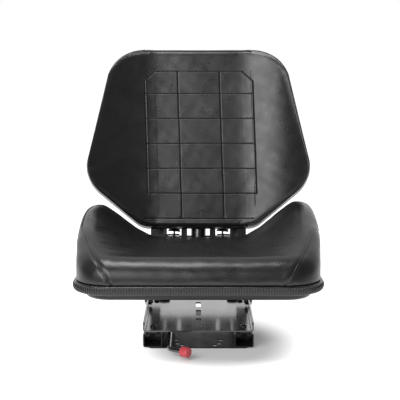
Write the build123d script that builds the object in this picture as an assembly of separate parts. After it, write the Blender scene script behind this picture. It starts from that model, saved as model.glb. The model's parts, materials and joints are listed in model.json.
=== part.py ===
from build123d import *
import os
from math import cos, radians, sin, sqrt

# Tractor seat: floor plate with slide rails, a sprung rear column, a padded pan and a padded backrest.
# Millimetres, +Z up, the sitter faces -Y. The origin is the centre of the floor plate's underside.

# Floor plate
PLATE_WIDTH = 210.0
PLATE_LENGTH = 330.0
PLATE_THICK = 2.0
PLATE_CORNER = 12.0
PLATE_HOLE_D = 11.0
# Half spacing across the seat, and distance from the plate's end, of each set of four bolt holes
PLATE_HOLES = ((32.5, 17.0), (41.5, 29.0), (44.5, 56.0))

# Slide rails: a fixed C section, and a hat section that runs in it on nylon glides
RAIL_SPACING = 180.0
RAIL_WIDTH = 38.0
RAIL_HEIGHT = 28.0
RAIL_WALL = 2.5
RAIL_LIP = 8.0
RAIL_BEND = 4.0
RAIL_CLEARANCE = 1.0
HAT_WIDTH = 18.0
HAT_BRIM = 5.5
HAT_RISE = 3.0
GLIDE_LENGTH = 24.0
GLIDE_SETBACK = 45.0
GLIDE_CLEARANCE = 0.3
GLIDE_CORNER = 5.0
SLIDE_TRAVEL = 75.0
NOTCH_LENGTH = 8.5
NOTCH_HEIGHT = 10.0
NOTCH_PITCH = 12.5

# Suspension base: a folded tray with side cheeks that carry the column
TRAY_WIDTH = RAIL_SPACING + RAIL_WIDTH
TRAY_THICK = 3.0
TRAY_BEND = 3.0
TRAY_LENGTH = 350.0
FLANGE_HEIGHT = 15.0
FLANGE_CORNER = 4.0
CHEEK_HEIGHT = 104.0
CHEEK_FOOT = 12.0
CHEEK_SETBACK = 1.0
CHEEK_KNEE_GAP = 20.0
CHEEK_ROUND = 16.0
SLOT_WIDTH = 11.0
# Start and end of each centre slot, from the tray's front edge
TRAY_SLOTS = ((20.0, 97.0), (116.0, 167.0), (190.0, 236.0))
RAIL_BOLT_Y = (-133.0, 80.0)
SIDE_BOLT_Y = 40.0
SIDE_BOLT_RISE = 9.5
SIDE_BOLT_SPARE = 3.0
BUFFER_D = 25.0
BUFFER_ROUND = 2.0
BUFFER_Y = 108.0

# Column: two guide channels that lean back with the backrest
LEAN = 12.0
COLUMN_FOOT_Y = 136.0
CHANNEL_WIDTH = 20.0
CHANNEL_DEPTH = 40.0
CHANNEL_WALL = 2.5
CHANNEL_SETBACK = 2.0
CHANNEL_FOOT_GAP = 40.0
COLUMN_HEIGHT = 316.0
HEAD_BAR_HEIGHT = 24.0
HEAD_BAR_WALL = 2.5
HEAD_BAR_BEND = 4.0
TIE_PLATE_THICK = 3.0
TIE_PLATE_START = 74.0
TIE_PLATE_HEIGHT = 60.0
TIE_SLOT_X = 44.0
TIE_SLOT_WIDTH = 8.0
TIE_SLOT_LENGTH = 42.0

# Sprung frame that runs in the column
SPRUNG_TRAVEL = 60.0
SIDE_PLATE = 5.0
SIDE_PLATE_OUTSIDE = 77.0
SIDE_PLATE_DEPTH = 38.0
SIDE_PLATE_ROUND = 12.0
FRAME_TOP_GAP = 5.0
ARM_DEPTH = 14.0
ARM_FRONT_Y = -170.0
ARM_CORNER = 20.0
ARM_END_ROUND = 5.0
SHOE_LENGTH = 48.0
SHOE_CLEARANCE = 0.3
SHOE_CHAMFER = 2.0
SHOE_LOW_START = 112.0
SHOE_TOP_GAP = 1.0
BACK_PLATE_THICK = 3.0
BACK_PLATE_START = 92.0
WINDOW_BOTTOM = 112.0
WINDOW_HEIGHT = 84.0
WINDOW_CORNER = 6.0
# Centre and width of each window in the back plate
WINDOWS = ((-54.0, 32.0), (0.0, 50.0), (54.0, 32.0))
CROSSBAR_WIDTH = 32.0
CROSSBAR_THICK = 3.0
CROSSBAR_Y = (-120.0, 45.0)
PAN_BOLT_X = 45.0

# Springs between the column's head and the sprung frame
SPRING_X = 54.0
SPRING_OD = 28.0
SPRING_WIRE = 4.0
SPRING_SETBACK = 22.0
SPRING_LOOP_R = 9.0
SPRING_GAP = 0.3
SPRING_PIN_D = 10.0
SPRING_PIN_AT = 132.0
SPRING_PIN_SPARE = 10.0
EYE_BOLT_R = 8.0
EYE_BOLT_WIRE = 6.0
EYE_BOLT_SPARE = 5.0
EYE_BOLT_GAP = 1.0

# Damper between the tray and the sprung frame
DAMPER_TUBE_D = 34.0
DAMPER_TUBE_ROUND = 3.0
DAMPER_ROD_D = 10.0
DAMPER_GLAND_D = 22.0
DAMPER_GLAND = 6.0
DAMPER_BORE_CLEARANCE = 0.3
DAMPER_FOOT = 88.0
DAMPER_TUBE_TOP = 182.0
DAMPER_FLOOR = 5.0
DAMPER_END_GAP = 2.0
DAMPER_HEAD = 262.0
EYE_D = 22.0
EYE_WIDTH = 16.0
EYE_NECK_D = 14.0
EYE_NECK = 3.0
EYE_PIN_D = 10.0
EYE_CLEARANCE = 0.05
LUG_THICK = 3.0
LUG_GAP = 0.3
PIN_SPARE = 3.0

# Seat pan and its edge trim
PAN_BOTTOM = 118.0
PAN_THICK = 2.0
PAN_DISH = 24.0
PAN_FLANGE = 18.0
PAN_FRONT = -276.0
PAN_REAR = 118.0
PAN_FRONT_HALF = 236.0
PAN_REAR_HALF = 228.0
PAN_FRONT_ROUND = 68.0
PAN_REAR_ROUND = 100.0
PAN_CORNER = 9.0
TRIM_HEIGHT = 17.5
TRIM_OUT = 4.0
TRIM_IN = 9.0
TRIM_ROUND = 2.5
SOFT_GAP = 0.3

# Cushion: height of the middle and rise of the side bolsters at each distance along the seat
CUSHION_STATIONS = (
    (-277.0, 172.0, 0.0),
    (-266.0, 187.0, 0.0),
    (-246.0, 196.0, 2.0),
    (-205.0, 199.5, 13.0),
    (-115.0, 196.0, 42.0),
    (-15.0, 189.0, 68.0),
    (60.0, 181.0, 71.0),
    (119.0, 172.0, 64.0),
)
CUSHION_OUT = 1.0
CUSHION_SECTION_HALF = 252.0
CUSHION_FLAT_HALF = 90.0
CUSHION_SLOPE_HALF = 150.0
CUSHION_SLOPE_SHARE = 0.47
BOLSTER_HALF = 207.0
SHOULDER_SHARE = 0.72

# Backrest: outline in the plane of the column, and a section bent round the sitter
BACK_BOTTOM = 150.0
BACK_TOP = 541.0
BACK_BOTTOM_HALF = 124.0
BACK_WIDE_HALF = 247.0
BACK_WIDE_AT = 252.0
BACK_TOP_HALF = 184.0
BACK_BOTTOM_ROUND = 40.0
BACK_WIDE_ROUND = 72.0
BACK_TOP_ROUND = 84.0
BACK_FLAT_HALF = 85.0
BACK_BEND = 260.0
WRAP_TURN = 60.0
SHELL_THICK = 2.0
PAD_THICK = 50.0
PAD_ROUND = 14.0
BACK_TRIM_DEPTH = 14.0
BACK_TRIM_IN = 9.0
BACK_TRIM_OUT = 3.0
BACK_BOLT_X = 34.0
BACK_BOLT_LOW_AT = 212.0
BACK_BOLT_TOP_GAP = 19.0

# Pressed grid on the backrest's face
GRID_HALF = 119.0
GRID_MIDDLE_HALF = 46.0
GRID_BOTTOM = 168.0
GRID_PITCH = 55.0
GRID_ROWS = 6
GRID_CHAMFER = 22.0
GROOVE_WIDTH = 3.0
GROOVE_DEPTH = 1.6
CUT_SPARE = 5.0
TOUCH = 0.01

# Slide latch lever
LEVER_X = -57.0
LEVER_Z = 16.0
LEVER_D = 9.0
LEVER_BEND_Y = -223.5
LEVER_BEND = 18.0
LEVER_SWEEP = 53.0
LEVER_END = 42.5
PIVOT_Y = -35.0
PIVOT_PIN_D = 8.0
PIVOT_BOSS_D = 18.0
PIVOT_BOSS = 12.0
PIVOT_CLEARANCE = 0.05
PIVOT_HEAD_D = 14.0
PIVOT_HEAD = 3.0
LEVER_SPRING_D = 15.0
LEVER_SPRING_GAP = 0.3
TOOTH_Y = -75.0
TOOTH_LENGTH = 4.5
TOOTH_HEIGHT = 7.0
TOOTH_REACH = 1.5
KNOB_D = 20.0
KNOB_LENGTH = 19.0
KNOB_NECK_D = 15.0
KNOB_ROUND = 3.0
KNOB_SOCKET = 12.0

# Fasteners
M6_D = 6.0
M6_HEX = 10.0
M6_NUT = 5.0
M6_HEAD_D = 12.0
M6_HEAD = 3.5
M8_D = 8.0
M8_HEX = 13.0
M8_HEAD = 5.3
M8_NUT = 6.5
HOLE_CLEARANCE = 0.25
HEAD_ROUND_SHARE = 0.6

# Heights and places that follow from the sizes above
RAIL_TOP = PLATE_THICK + RAIL_HEIGHT
BRIM_TOP = RAIL_TOP - RAIL_WALL - RAIL_CLEARANCE
HAT_TOP = RAIL_TOP + HAT_RISE
TRAY_TOP = HAT_TOP + TRAY_THICK
TRAY_FRONT = -PLATE_LENGTH / 2
TRAY_REAR = TRAY_FRONT + TRAY_LENGTH
TRAY_INSIDE = TRAY_WIDTH / 2 - TRAY_THICK
FLANGE_TOP = TRAY_TOP + FLANGE_HEIGHT
CHANNEL_INSIDE = TRAY_INSIDE - CHANNEL_WIDTH
CHANNEL_MIDDLE = CHANNEL_SETBACK + CHANNEL_DEPTH / 2
CHANNEL_REAR = CHANNEL_SETBACK + CHANNEL_DEPTH
SIDE_PLATE_INSIDE = SIDE_PLATE_OUTSIDE - SIDE_PLATE
SIDE_PLATE_MIDDLE = SIDE_PLATE_OUTSIDE - SIDE_PLATE / 2
FRAME_TOP = COLUMN_HEIGHT - FRAME_TOP_GAP
SHOE_STARTS = (SHOE_LOW_START, FRAME_TOP - SHOE_TOP_GAP - SHOE_LENGTH)
BACK_BOLTS_AT = (BACK_BOLT_LOW_AT, FRAME_TOP - BACK_BOLT_TOP_GAP)
ARM_BOTTOM = PAN_BOTTOM - ARM_DEPTH
RIM_Z = PAN_BOTTOM + PAN_DISH
TRIM_BOTTOM = RIM_Z - PAN_THICK / 2 - TRIM_HEIGHT / 2
CUSHION_BASE = TRIM_BOTTOM + TRIM_HEIGHT + SOFT_GAP
SPRING_WIRE_R = SPRING_WIRE / 2
SPRING_LOW_LOOP = SPRING_PIN_AT - SPRING_PIN_D / 2 + SPRING_LOOP_R - SPRING_WIRE_R - SPRING_GAP
EYE_AT = COLUMN_HEIGHT - EYE_BOLT_R - EYE_BOLT_WIRE / 2 - EYE_BOLT_GAP
SPRING_TOP_LOOP = EYE_AT - EYE_BOLT_R + EYE_BOLT_WIRE / 2 + SPRING_WIRE_R - SPRING_LOOP_R + SPRING_GAP
DAMPER_START = DAMPER_FOOT + EYE_D / 2 + EYE_NECK
LUG_INSIDE = EYE_WIDTH / 2 + LUG_GAP
LUG_OUTSIDE = LUG_INSIDE + LUG_THICK
SIDES = {"left": -1, "right": 1}
LOW = (Align.CENTER, Align.CENTER, Align.MIN)


def on_column(shape):
    """Place a shape drawn upright, with Y to the rear and Z up the column, on the leaning column."""
    return Pos(0, COLUMN_FOOT_Y, TRAY_TOP) * Rot(-LEAN, 0, 0) * shape


def column_point(setback, along):
    """Y and Z of a point given by its distances behind the column's front plane and up the column."""
    lean = radians(LEAN)
    y = COLUMN_FOOT_Y + setback * cos(lean) + along * sin(lean)
    return (y, TRAY_TOP - setback * sin(lean) + along * cos(lean))


def column_height(setback, z):
    """Distance up the column of the point that lies at a height and a setback."""
    lean = radians(LEAN)
    return (z - TRAY_TOP + setback * sin(lean)) / cos(lean)


def along_y(section, start, end):
    """Extrude a section drawn in X and Z from one Y to another."""
    return extrude(Plane.XZ.offset(-end) * section, end - start)


def round_bar(diameter, length):
    """A bar that stands on the origin."""
    return Cylinder(diameter / 2, length, align=LOW)


def across(diameter, start, end):
    """A round bar along X."""
    return Pos(start, 0, 0) * Rot(0, 90, 0) * round_bar(diameter, end - start)


def hexagon(width, thick):
    """A hexagon prism of that width across its flats, standing on the origin."""
    return extrude(RegularPolygon(width / 2, 6, major_radius=False, rotation=30), thick)


def on_side(shape, side):
    """A shape drawn for the right side, or its mirror image."""
    return shape if side > 0 else mirror(shape, about=Plane.YZ)


# Floor plate and slide rails
def floor_plate():
    blank = chamfer(Rectangle(PLATE_WIDTH, PLATE_LENGTH).vertices(), PLATE_CORNER)
    plate = extrude(blank, PLATE_THICK)
    for half, inset in PLATE_HOLES:
        drill = Cylinder(PLATE_HOLE_D / 2, 4 * PLATE_THICK)
        plate -= GridLocations(2 * half, PLATE_LENGTH - 2 * inset, 2, 2) * drill
    return plate


def lower_rail(side):
    """A C section with in-turned lips; the left one has the latch's row of notches."""
    outside = fillet(Rectangle(RAIL_WIDTH, RAIL_HEIGHT).vertices(), RAIL_BEND)
    hollow = Rectangle(RAIL_WIDTH - 2 * RAIL_WALL, RAIL_HEIGHT - 2 * RAIL_WALL)
    mouth = Pos(0, RAIL_HEIGHT / 2) * Rectangle(RAIL_WIDTH - 2 * RAIL_LIP, 4 * RAIL_WALL)
    section = outside - fillet(hollow.vertices(), RAIL_BEND - RAIL_WALL) - mouth
    section = Pos(0, PLATE_THICK + RAIL_HEIGHT / 2) * section
    rail = Pos(side * RAIL_SPACING / 2, 0, 0) * along_y(section, TRAY_FRONT, -TRAY_FRONT)
    if side < 0:
        notch = Box(3 * RAIL_WALL, NOTCH_LENGTH, NOTCH_HEIGHT)
        count = 1 + 2 * int(SLIDE_TRAVEL / NOTCH_PITCH)
        wall_x = -(RAIL_SPACING - RAIL_WIDTH + RAIL_WALL) / 2
        rail -= Pos(wall_x, TOOTH_Y, LEVER_Z) * GridLocations(1, NOTCH_PITCH, 1, count) * notch
    return rail


def upper_rail(side):
    """A hat section: its crown carries the tray and its brims hook under the lower rail's lips."""
    crown = Pos(0, HAT_TOP - RAIL_WALL / 2) * Rectangle(HAT_WIDTH, RAIL_WALL)
    corner = (Align.MIN, Align.MIN)
    leg = Rectangle(RAIL_WALL, HAT_TOP - BRIM_TOP + RAIL_WALL, align=corner)
    brim = Rectangle(HAT_BRIM + RAIL_WALL, RAIL_WALL, align=corner)
    half = Pos(HAT_WIDTH / 2 - RAIL_WALL, BRIM_TOP - RAIL_WALL) * (leg + brim)
    section = crown + half + mirror(half, about=Plane.YZ)
    rail = along_y(section, TRAY_FRONT, -TRAY_FRONT)
    drill = Cylinder(M6_D / 2 + HOLE_CLEARANCE, 6 * RAIL_WALL)
    for y in RAIL_BOLT_Y:
        rail -= Pos(0, y, HAT_TOP) * drill
    return Pos(side * RAIL_SPACING / 2, 0, 0) * rail


def rail_glide(side, end):
    """A nylon block under the hat's brims that slides on the lower rail's floor."""
    floor = PLATE_THICK + RAIL_WALL + GLIDE_CLEARANCE
    height = BRIM_TOP - RAIL_WALL - floor
    width = RAIL_WIDTH - 2 * RAIL_WALL - 2 * GLIDE_CLEARANCE
    face = Pos(0, floor + height / 2) * Rectangle(width, height)
    face = fillet(face.vertices().sort_by(Axis.Y)[:2], GLIDE_CORNER)
    middle = end * ((PLATE_LENGTH - GLIDE_LENGTH) / 2 - GLIDE_SETBACK)
    block = along_y(face, middle - GLIDE_LENGTH / 2, middle + GLIDE_LENGTH / 2)
    return Pos(side * RAIL_SPACING / 2, 0, 0) * block


# Suspension base
def tray():
    deep = TRAY_THICK + FLANGE_HEIGHT
    outside = Pos(0, HAT_TOP + deep / 2) * Rectangle(TRAY_WIDTH, deep)
    outside = fillet(outside.vertices().sort_by(Axis.Y)[:2], TRAY_BEND + TRAY_THICK)
    inside = Pos(0, TRAY_TOP + deep) * Rectangle(2 * TRAY_INSIDE, 2 * deep)
    inside = fillet(inside.vertices().sort_by(Axis.Y)[:2], TRAY_BEND)
    body = along_y(outside - inside, TRAY_FRONT, TRAY_REAR)
    front_edges = body.edges().filter_by(Axis.X).group_by(Axis.Y)[0]
    body = fillet(front_edges.group_by(Axis.Z)[-1], FLANGE_CORNER)
    cheek_top = TRAY_TOP + CHEEK_HEIGHT
    knee = BACK_BOTTOM - BACK_TRIM_OUT - SPRUNG_TRAVEL - CHEEK_KNEE_GAP
    front_y = column_point(CHEEK_SETBACK, column_height(CHEEK_SETBACK, cheek_top))[0]
    rear_y = column_point(CHANNEL_REAR, column_height(CHANNEL_REAR, cheek_top))[0]
    middle_z = TRAY_TOP + FLANGE_HEIGHT / 2
    corners = (
        (COLUMN_FOOT_Y - CHEEK_FOOT, middle_z),
        (TRAY_REAR, middle_z),
        (rear_y, cheek_top),
        (front_y, cheek_top),
        column_point(CHEEK_SETBACK, knee),
        (COLUMN_FOOT_Y - CHEEK_FOOT, FLANGE_TOP),
    )
    blank = make_face(Plane.YZ * Polyline(*corners, close=True))
    blank = fillet(blank.vertices().group_by(Axis.Z)[-1], CHEEK_ROUND)
    cheek = extrude(blank, TRAY_THICK / 2, both=True)
    for side in SIDES.values():
        body += Pos(side * (TRAY_INSIDE + TRAY_THICK / 2), 0, 0) * cheek
    for start, end in TRAY_SLOTS:
        slot = extrude(Rot(0, 0, 90) * SlotOverall(end - start, SLOT_WIDTH), 4 * TRAY_THICK, both=True)
        body -= Pos(0, TRAY_FRONT + (start + end) / 2, HAT_TOP) * slot
    rail_drill = Cylinder(M6_D / 2 + HOLE_CLEARANCE, 4 * TRAY_THICK)
    for y in RAIL_BOLT_Y:
        body -= Pos(0, y, TRAY_TOP) * GridLocations(RAIL_SPACING, 1, 2, 1) * rail_drill
    side_drill = across(M8_D + 2 * HOLE_CLEARANCE, -TRAY_WIDTH, TRAY_WIDTH)
    body -= Pos(0, SIDE_BOLT_Y, TRAY_TOP + SIDE_BOLT_RISE) * side_drill
    pin_hole = round_bar(PIVOT_PIN_D, 4 * TRAY_THICK)
    return body - Pos(LEVER_X, PIVOT_Y, HAT_TOP - TRAY_THICK) * pin_hole


def rail_bolts():
    """Four button-head bolts with nuts that hold the tray to the upper rails."""
    grip = TRAY_THICK + RAIL_WALL
    head = round_bar(M6_HEAD_D, M6_HEAD)
    head = fillet(head.edges().group_by(Axis.Z)[-1], M6_HEAD * HEAD_ROUND_SHARE)
    below = Pos(0, 0, -grip - M6_NUT)
    bolt = head + below * round_bar(M6_D, grip + M6_NUT) + below * hexagon(M6_HEX, M6_NUT)
    places = [Pos(side * RAIL_SPACING / 2, y, TRAY_TOP) for side in SIDES.values() for y in RAIL_BOLT_Y]
    return Compound([place * bolt for place in places])


def side_bolt(side):
    """A plated bolt through the tray's flange, with its nut inside."""
    nut_x = TRAY_INSIDE - M8_NUT
    bolt = across(M8_D, nut_x - SIDE_BOLT_SPARE, TRAY_WIDTH / 2)
    bolt += Pos(TRAY_WIDTH / 2, 0, 0) * Rot(0, 90, 0) * hexagon(M8_HEX, M8_HEAD)
    bolt += Pos(nut_x, 0, 0) * Rot(0, 90, 0) * hexagon(M8_HEX, M8_NUT)
    return on_side(Pos(0, SIDE_BOLT_Y, TRAY_TOP + SIDE_BOLT_RISE) * bolt, side)


def bump_stop(side):
    """A rubber stop on the tray below the sprung frame's arm."""
    height = ARM_BOTTOM - SPRUNG_TRAVEL * cos(radians(LEAN)) - SOFT_GAP - TRAY_TOP
    stop = round_bar(BUFFER_D, height)
    stop = fillet(stop.edges().group_by(Axis.Z)[-1], BUFFER_ROUND)
    return Pos(side * SIDE_PLATE_MIDDLE, BUFFER_Y, TRAY_TOP) * stop


# Column
def guide_channel(side):
    """A channel, open to the middle of the seat, welded inside the tray's cheek."""
    blank = Rectangle(CHANNEL_WIDTH, CHANNEL_DEPTH)
    hollow = Rectangle(CHANNEL_WIDTH, CHANNEL_DEPTH - 2 * CHANNEL_WALL)
    section = blank - Pos(-CHANNEL_WALL, 0) * hollow
    section = Pos(CHANNEL_INSIDE + CHANNEL_WIDTH / 2, CHANNEL_MIDDLE) * section
    bar = Pos(0, 0, -CHANNEL_DEPTH) * extrude(section, COLUMN_HEIGHT + CHANNEL_DEPTH)
    above = Pos(0, COLUMN_FOOT_Y, TRAY_TOP + CHANNEL_FOOT_GAP)
    room = Box(2 * TRAY_WIDTH, 4 * COLUMN_HEIGHT, 4 * COLUMN_HEIGHT, align=LOW)
    return on_side(on_column(bar) & above * room, side)


def head_bar():
    """A box section across the tops of both channels; the springs hang from it."""
    outside = fillet(Rectangle(CHANNEL_DEPTH, HEAD_BAR_HEIGHT).vertices(), HEAD_BAR_BEND)
    hollow = Rectangle(CHANNEL_DEPTH - 2 * HEAD_BAR_WALL, HEAD_BAR_HEIGHT - 2 * HEAD_BAR_WALL)
    section = outside - fillet(hollow.vertices(), HEAD_BAR_BEND - HEAD_BAR_WALL)
    bar = extrude(Plane.YZ * section, TRAY_INSIDE, both=True)
    bar = Pos(0, CHANNEL_MIDDLE, COLUMN_HEIGHT + HEAD_BAR_HEIGHT / 2) * bar
    drill = Cylinder(M8_D / 2 + HOLE_CLEARANCE, 4 * HEAD_BAR_HEIGHT)
    bar -= Pos(0, SPRING_SETBACK, COLUMN_HEIGHT) * GridLocations(2 * SPRING_X, 1, 2, 1) * drill
    return on_column(bar)


def tie_plate():
    """A plate across the backs of both channels, with two upright slots."""
    middle = Pos(0, TIE_PLATE_START + TIE_PLATE_HEIGHT / 2)
    face = middle * Rectangle(2 * TRAY_INSIDE, TIE_PLATE_HEIGHT)
    slot = Rot(0, 0, 90) * SlotOverall(TIE_SLOT_LENGTH, TIE_SLOT_WIDTH)
    face -= middle * GridLocations(2 * TIE_SLOT_X, 1, 2, 1) * slot
    return on_column(along_y(face, CHANNEL_REAR, CHANNEL_REAR + TIE_PLATE_THICK))


# Springs and damper
def eye_bolt(side):
    """An eye bolt through the head bar with a nut on top."""
    ring = Pos(0, 0, EYE_AT) * Rot(90, 0, 0) * Torus(EYE_BOLT_R, EYE_BOLT_WIRE / 2)
    top = COLUMN_HEIGHT + HEAD_BAR_HEIGHT
    start = EYE_AT + EYE_BOLT_R
    bolt = ring + Pos(0, 0, start) * round_bar(M8_D, top + M8_NUT + EYE_BOLT_SPARE - start)
    bolt += Pos(0, 0, top) * hexagon(M8_HEX, M8_NUT)
    return on_column(Pos(side * SPRING_X, SPRING_SETBACK, 0) * bolt)


def spring(side):
    """A close-wound extension spring: its coils as a sleeve, with a loop at each end."""
    low = SPRING_LOW_LOOP + SPRING_LOOP_R - SPRING_WIRE_R
    length = SPRING_TOP_LOOP - SPRING_LOOP_R + SPRING_WIRE_R - low
    coils = round_bar(SPRING_OD, length) - round_bar(SPRING_OD - 2 * SPRING_WIRE, length)
    turn = Box(SPRING_OD - SPRING_WIRE, SPRING_WIRE, SPRING_WIRE, align=LOW)
    coils += turn + Pos(0, 0, length - SPRING_WIRE) * turn
    loop = Rot(0, 90, 0) * Torus(SPRING_LOOP_R, SPRING_WIRE_R)
    whole = Pos(0, 0, low) * coils
    whole += Pos(0, 0, SPRING_LOW_LOOP) * loop + Pos(0, 0, SPRING_TOP_LOOP) * loop
    return on_column(Pos(side * SPRING_X, SPRING_SETBACK, 0) * whole)


def spring_pin(side):
    """A pin from the sprung frame's side plate that carries the spring's lower loop."""
    start = SPRING_X - SPRING_WIRE_R - SPRING_PIN_SPARE
    pin = across(SPRING_PIN_D, start, SIDE_PLATE_INSIDE)
    return on_column(on_side(Pos(0, SPRING_SETBACK, SPRING_PIN_AT) * pin, side))


def damper_eye(along):
    ring = across(EYE_D, -EYE_WIDTH / 2, EYE_WIDTH / 2)
    hole = across(EYE_PIN_D + 2 * EYE_CLEARANCE, -EYE_WIDTH, EYE_WIDTH)
    return Pos(0, 0, along) * ring, Pos(0, 0, along) * hole


def damper_tube():
    ring, hole = damper_eye(DAMPER_FOOT)
    start = DAMPER_START
    tube = Pos(0, 0, start) * round_bar(DAMPER_TUBE_D, DAMPER_TUBE_TOP - start)
    tube = fillet(tube.edges().group_by(Axis.Z)[-1], DAMPER_TUBE_ROUND)
    tube += Pos(0, 0, DAMPER_FOOT) * round_bar(EYE_NECK_D, start - DAMPER_FOOT)
    tube += Pos(0, 0, DAMPER_TUBE_TOP) * round_bar(DAMPER_GLAND_D, DAMPER_GLAND)
    bore_start = start + DAMPER_FLOOR
    bore = round_bar(DAMPER_ROD_D + 2 * DAMPER_BORE_CLEARANCE, 2 * DAMPER_TUBE_TOP)
    tube = tube - Pos(0, 0, bore_start) * bore + ring - hole
    return on_column(Pos(0, SPRING_SETBACK, 0) * tube)


def damper_rod():
    ring, hole = damper_eye(DAMPER_HEAD)
    inserted = DAMPER_START + DAMPER_FLOOR + SPRUNG_TRAVEL + DAMPER_END_GAP
    rod = Pos(0, 0, inserted) * round_bar(DAMPER_ROD_D, DAMPER_HEAD - EYE_D / 4 - inserted)
    return on_column(Pos(0, SPRING_SETBACK, 0) * (rod + ring - hole))


def damper_pin(along):
    spare = LUG_OUTSIDE + PIN_SPARE
    return on_column(Pos(0, SPRING_SETBACK, along) * across(EYE_PIN_D, -spare, spare))


def damper_bracket():
    """A U bracket on the tie plate that holds the damper's lower pin."""
    reach = CHANNEL_REAR - SPRING_SETBACK
    arm = Pos(SPRING_SETBACK + reach / 2, DAMPER_FOOT) * Rectangle(reach, EYE_D)
    ear = arm + Pos(SPRING_SETBACK, DAMPER_FOOT) * Circle(EYE_D / 2)
    ear -= Pos(SPRING_SETBACK, DAMPER_FOOT) * Circle(EYE_PIN_D / 2)
    lug = extrude(Plane.YZ.offset(LUG_INSIDE) * ear, LUG_THICK)
    foot = Pos(0, CHANNEL_REAR - LUG_THICK / 2, DAMPER_FOOT) * Box(2 * LUG_OUTSIDE, LUG_THICK, EYE_D)
    return on_column(foot + lug + mirror(lug, about=Plane.YZ))


# Sprung frame
def side_plate(side):
    """One L-shaped plate: an arm under the pan and an upright that runs beside the channel."""
    inner = column_point(0, column_height(0, PAN_BOTTOM))
    heel = column_point(SIDE_PLATE_DEPTH, column_height(SIDE_PLATE_DEPTH, ARM_BOTTOM))
    corners = (
        (ARM_FRONT_Y, ARM_BOTTOM),
        heel,
        column_point(SIDE_PLATE_DEPTH, FRAME_TOP),
        column_point(0, FRAME_TOP),
        inner,
        (ARM_FRONT_Y, PAN_BOTTOM),
    )
    face = make_face(Polyline(*corners, close=True))
    face = fillet(face.vertices().group_by(Axis.X)[0], ARM_END_ROUND)
    face = fillet(face.vertices().sort_by_distance((*inner, 0))[:1], ARM_CORNER)
    face = fillet(face.vertices().sort_by_distance((*heel, 0))[:1], SIDE_PLATE_ROUND)
    for setback in (0, SIDE_PLATE_DEPTH):
        corner = column_point(setback, FRAME_TOP)
        face = fillet(face.vertices().sort_by_distance((*corner, 0))[:1], SIDE_PLATE_ROUND)
    return on_side(extrude(Plane.YZ.offset(SIDE_PLATE_INSIDE) * face, SIDE_PLATE), side)


def guide_shoe(side, start):
    """A nylon block on the side plate that runs in the guide channel."""
    width = TRAY_INSIDE - CHANNEL_WALL - SHOE_CLEARANCE - SIDE_PLATE_OUTSIDE
    depth = CHANNEL_DEPTH - 2 * CHANNEL_WALL - 2 * SHOE_CLEARANCE
    block = Box(width, depth, SHOE_LENGTH, align=LOW)
    block = chamfer(block.edges().filter_by(Axis.Y), SHOE_CHAMFER)
    block = Pos(SIDE_PLATE_OUTSIDE + width / 2, CHANNEL_MIDDLE, start) * block
    return on_column(on_side(block, side))


def back_plate():
    """The cross plate between the side plates, with windows, and lugs for the damper's upper pin."""
    height = FRAME_TOP - BACK_PLATE_START
    face = Pos(0, BACK_PLATE_START + height / 2) * Rectangle(2 * SIDE_PLATE_INSIDE, height)
    for middle, width in WINDOWS:
        window = fillet(Rectangle(width, WINDOW_HEIGHT).vertices(), WINDOW_CORNER)
        face -= Pos(middle, WINDOW_BOTTOM + WINDOW_HEIGHT / 2) * window
    for along in BACK_BOLTS_AT:
        face -= Pos(0, along) * GridLocations(2 * BACK_BOLT_X, 1, 2, 1) * Circle(M8_D / 2 + HOLE_CLEARANCE)
    plate = along_y(face, 0, BACK_PLATE_THICK)
    reach = SPRING_SETBACK - BACK_PLATE_THICK / 2
    arm = Pos(SPRING_SETBACK - reach / 2, DAMPER_HEAD) * Rectangle(reach, EYE_D)
    ear = arm + Pos(SPRING_SETBACK, DAMPER_HEAD) * Circle(EYE_D / 2)
    ear -= Pos(SPRING_SETBACK, DAMPER_HEAD) * Circle(EYE_PIN_D / 2)
    lug = extrude(Plane.YZ.offset(LUG_INSIDE) * ear, LUG_THICK)
    return on_column(plate + lug + mirror(lug, about=Plane.YZ))


def crossbar(y):
    """A flat bar between the arms; the pan is bolted to it."""
    bar = Box(2 * SIDE_PLATE_INSIDE, CROSSBAR_WIDTH, CROSSBAR_THICK, align=LOW)
    bar -= GridLocations(2 * PAN_BOLT_X, 1, 2, 1) * Cylinder(M8_D / 2 + HOLE_CLEARANCE, 4 * CROSSBAR_THICK)
    return Pos(0, y, PAN_BOTTOM - CROSSBAR_THICK) * bar


# Seat
def pan_outline(grow=0.0):
    corners = (
        (-PAN_FRONT_HALF, PAN_FRONT),
        (PAN_FRONT_HALF, PAN_FRONT),
        (PAN_REAR_HALF, PAN_REAR),
        (-PAN_REAR_HALF, PAN_REAR),
    )
    face = make_face(Polyline(*corners, close=True))
    face = fillet(face.vertices().group_by(Axis.Y)[0], PAN_FRONT_ROUND)
    face = fillet(face.vertices().group_by(Axis.Y)[-1], PAN_REAR_ROUND)
    return offset(face, grow) if grow else face


def level(face, bottom, top):
    return Pos(0, 0, bottom) * extrude(face, top - bottom)


def seat_pan():
    """A pressed dish with a flat rim."""
    dish = level(pan_outline(-PAN_FLANGE), PAN_BOTTOM, RIM_Z)
    dish = fillet(dish.edges().group_by(Axis.Z)[0], PAN_CORNER)
    hollow = level(pan_outline(-PAN_FLANGE - PAN_THICK), PAN_BOTTOM + PAN_THICK, RIM_Z)
    hollow = fillet(hollow.edges().group_by(Axis.Z)[0], PAN_CORNER - PAN_THICK)
    pan = dish + level(pan_outline(), RIM_Z - PAN_THICK, RIM_Z) - hollow
    drill = Cylinder(M8_D / 2 + HOLE_CLEARANCE, 4 * PAN_THICK)
    for y in CROSSBAR_Y:
        pan -= Pos(0, y, PAN_BOTTOM) * GridLocations(2 * PAN_BOLT_X, 1, 2, 1) * drill
    return pan


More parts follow.
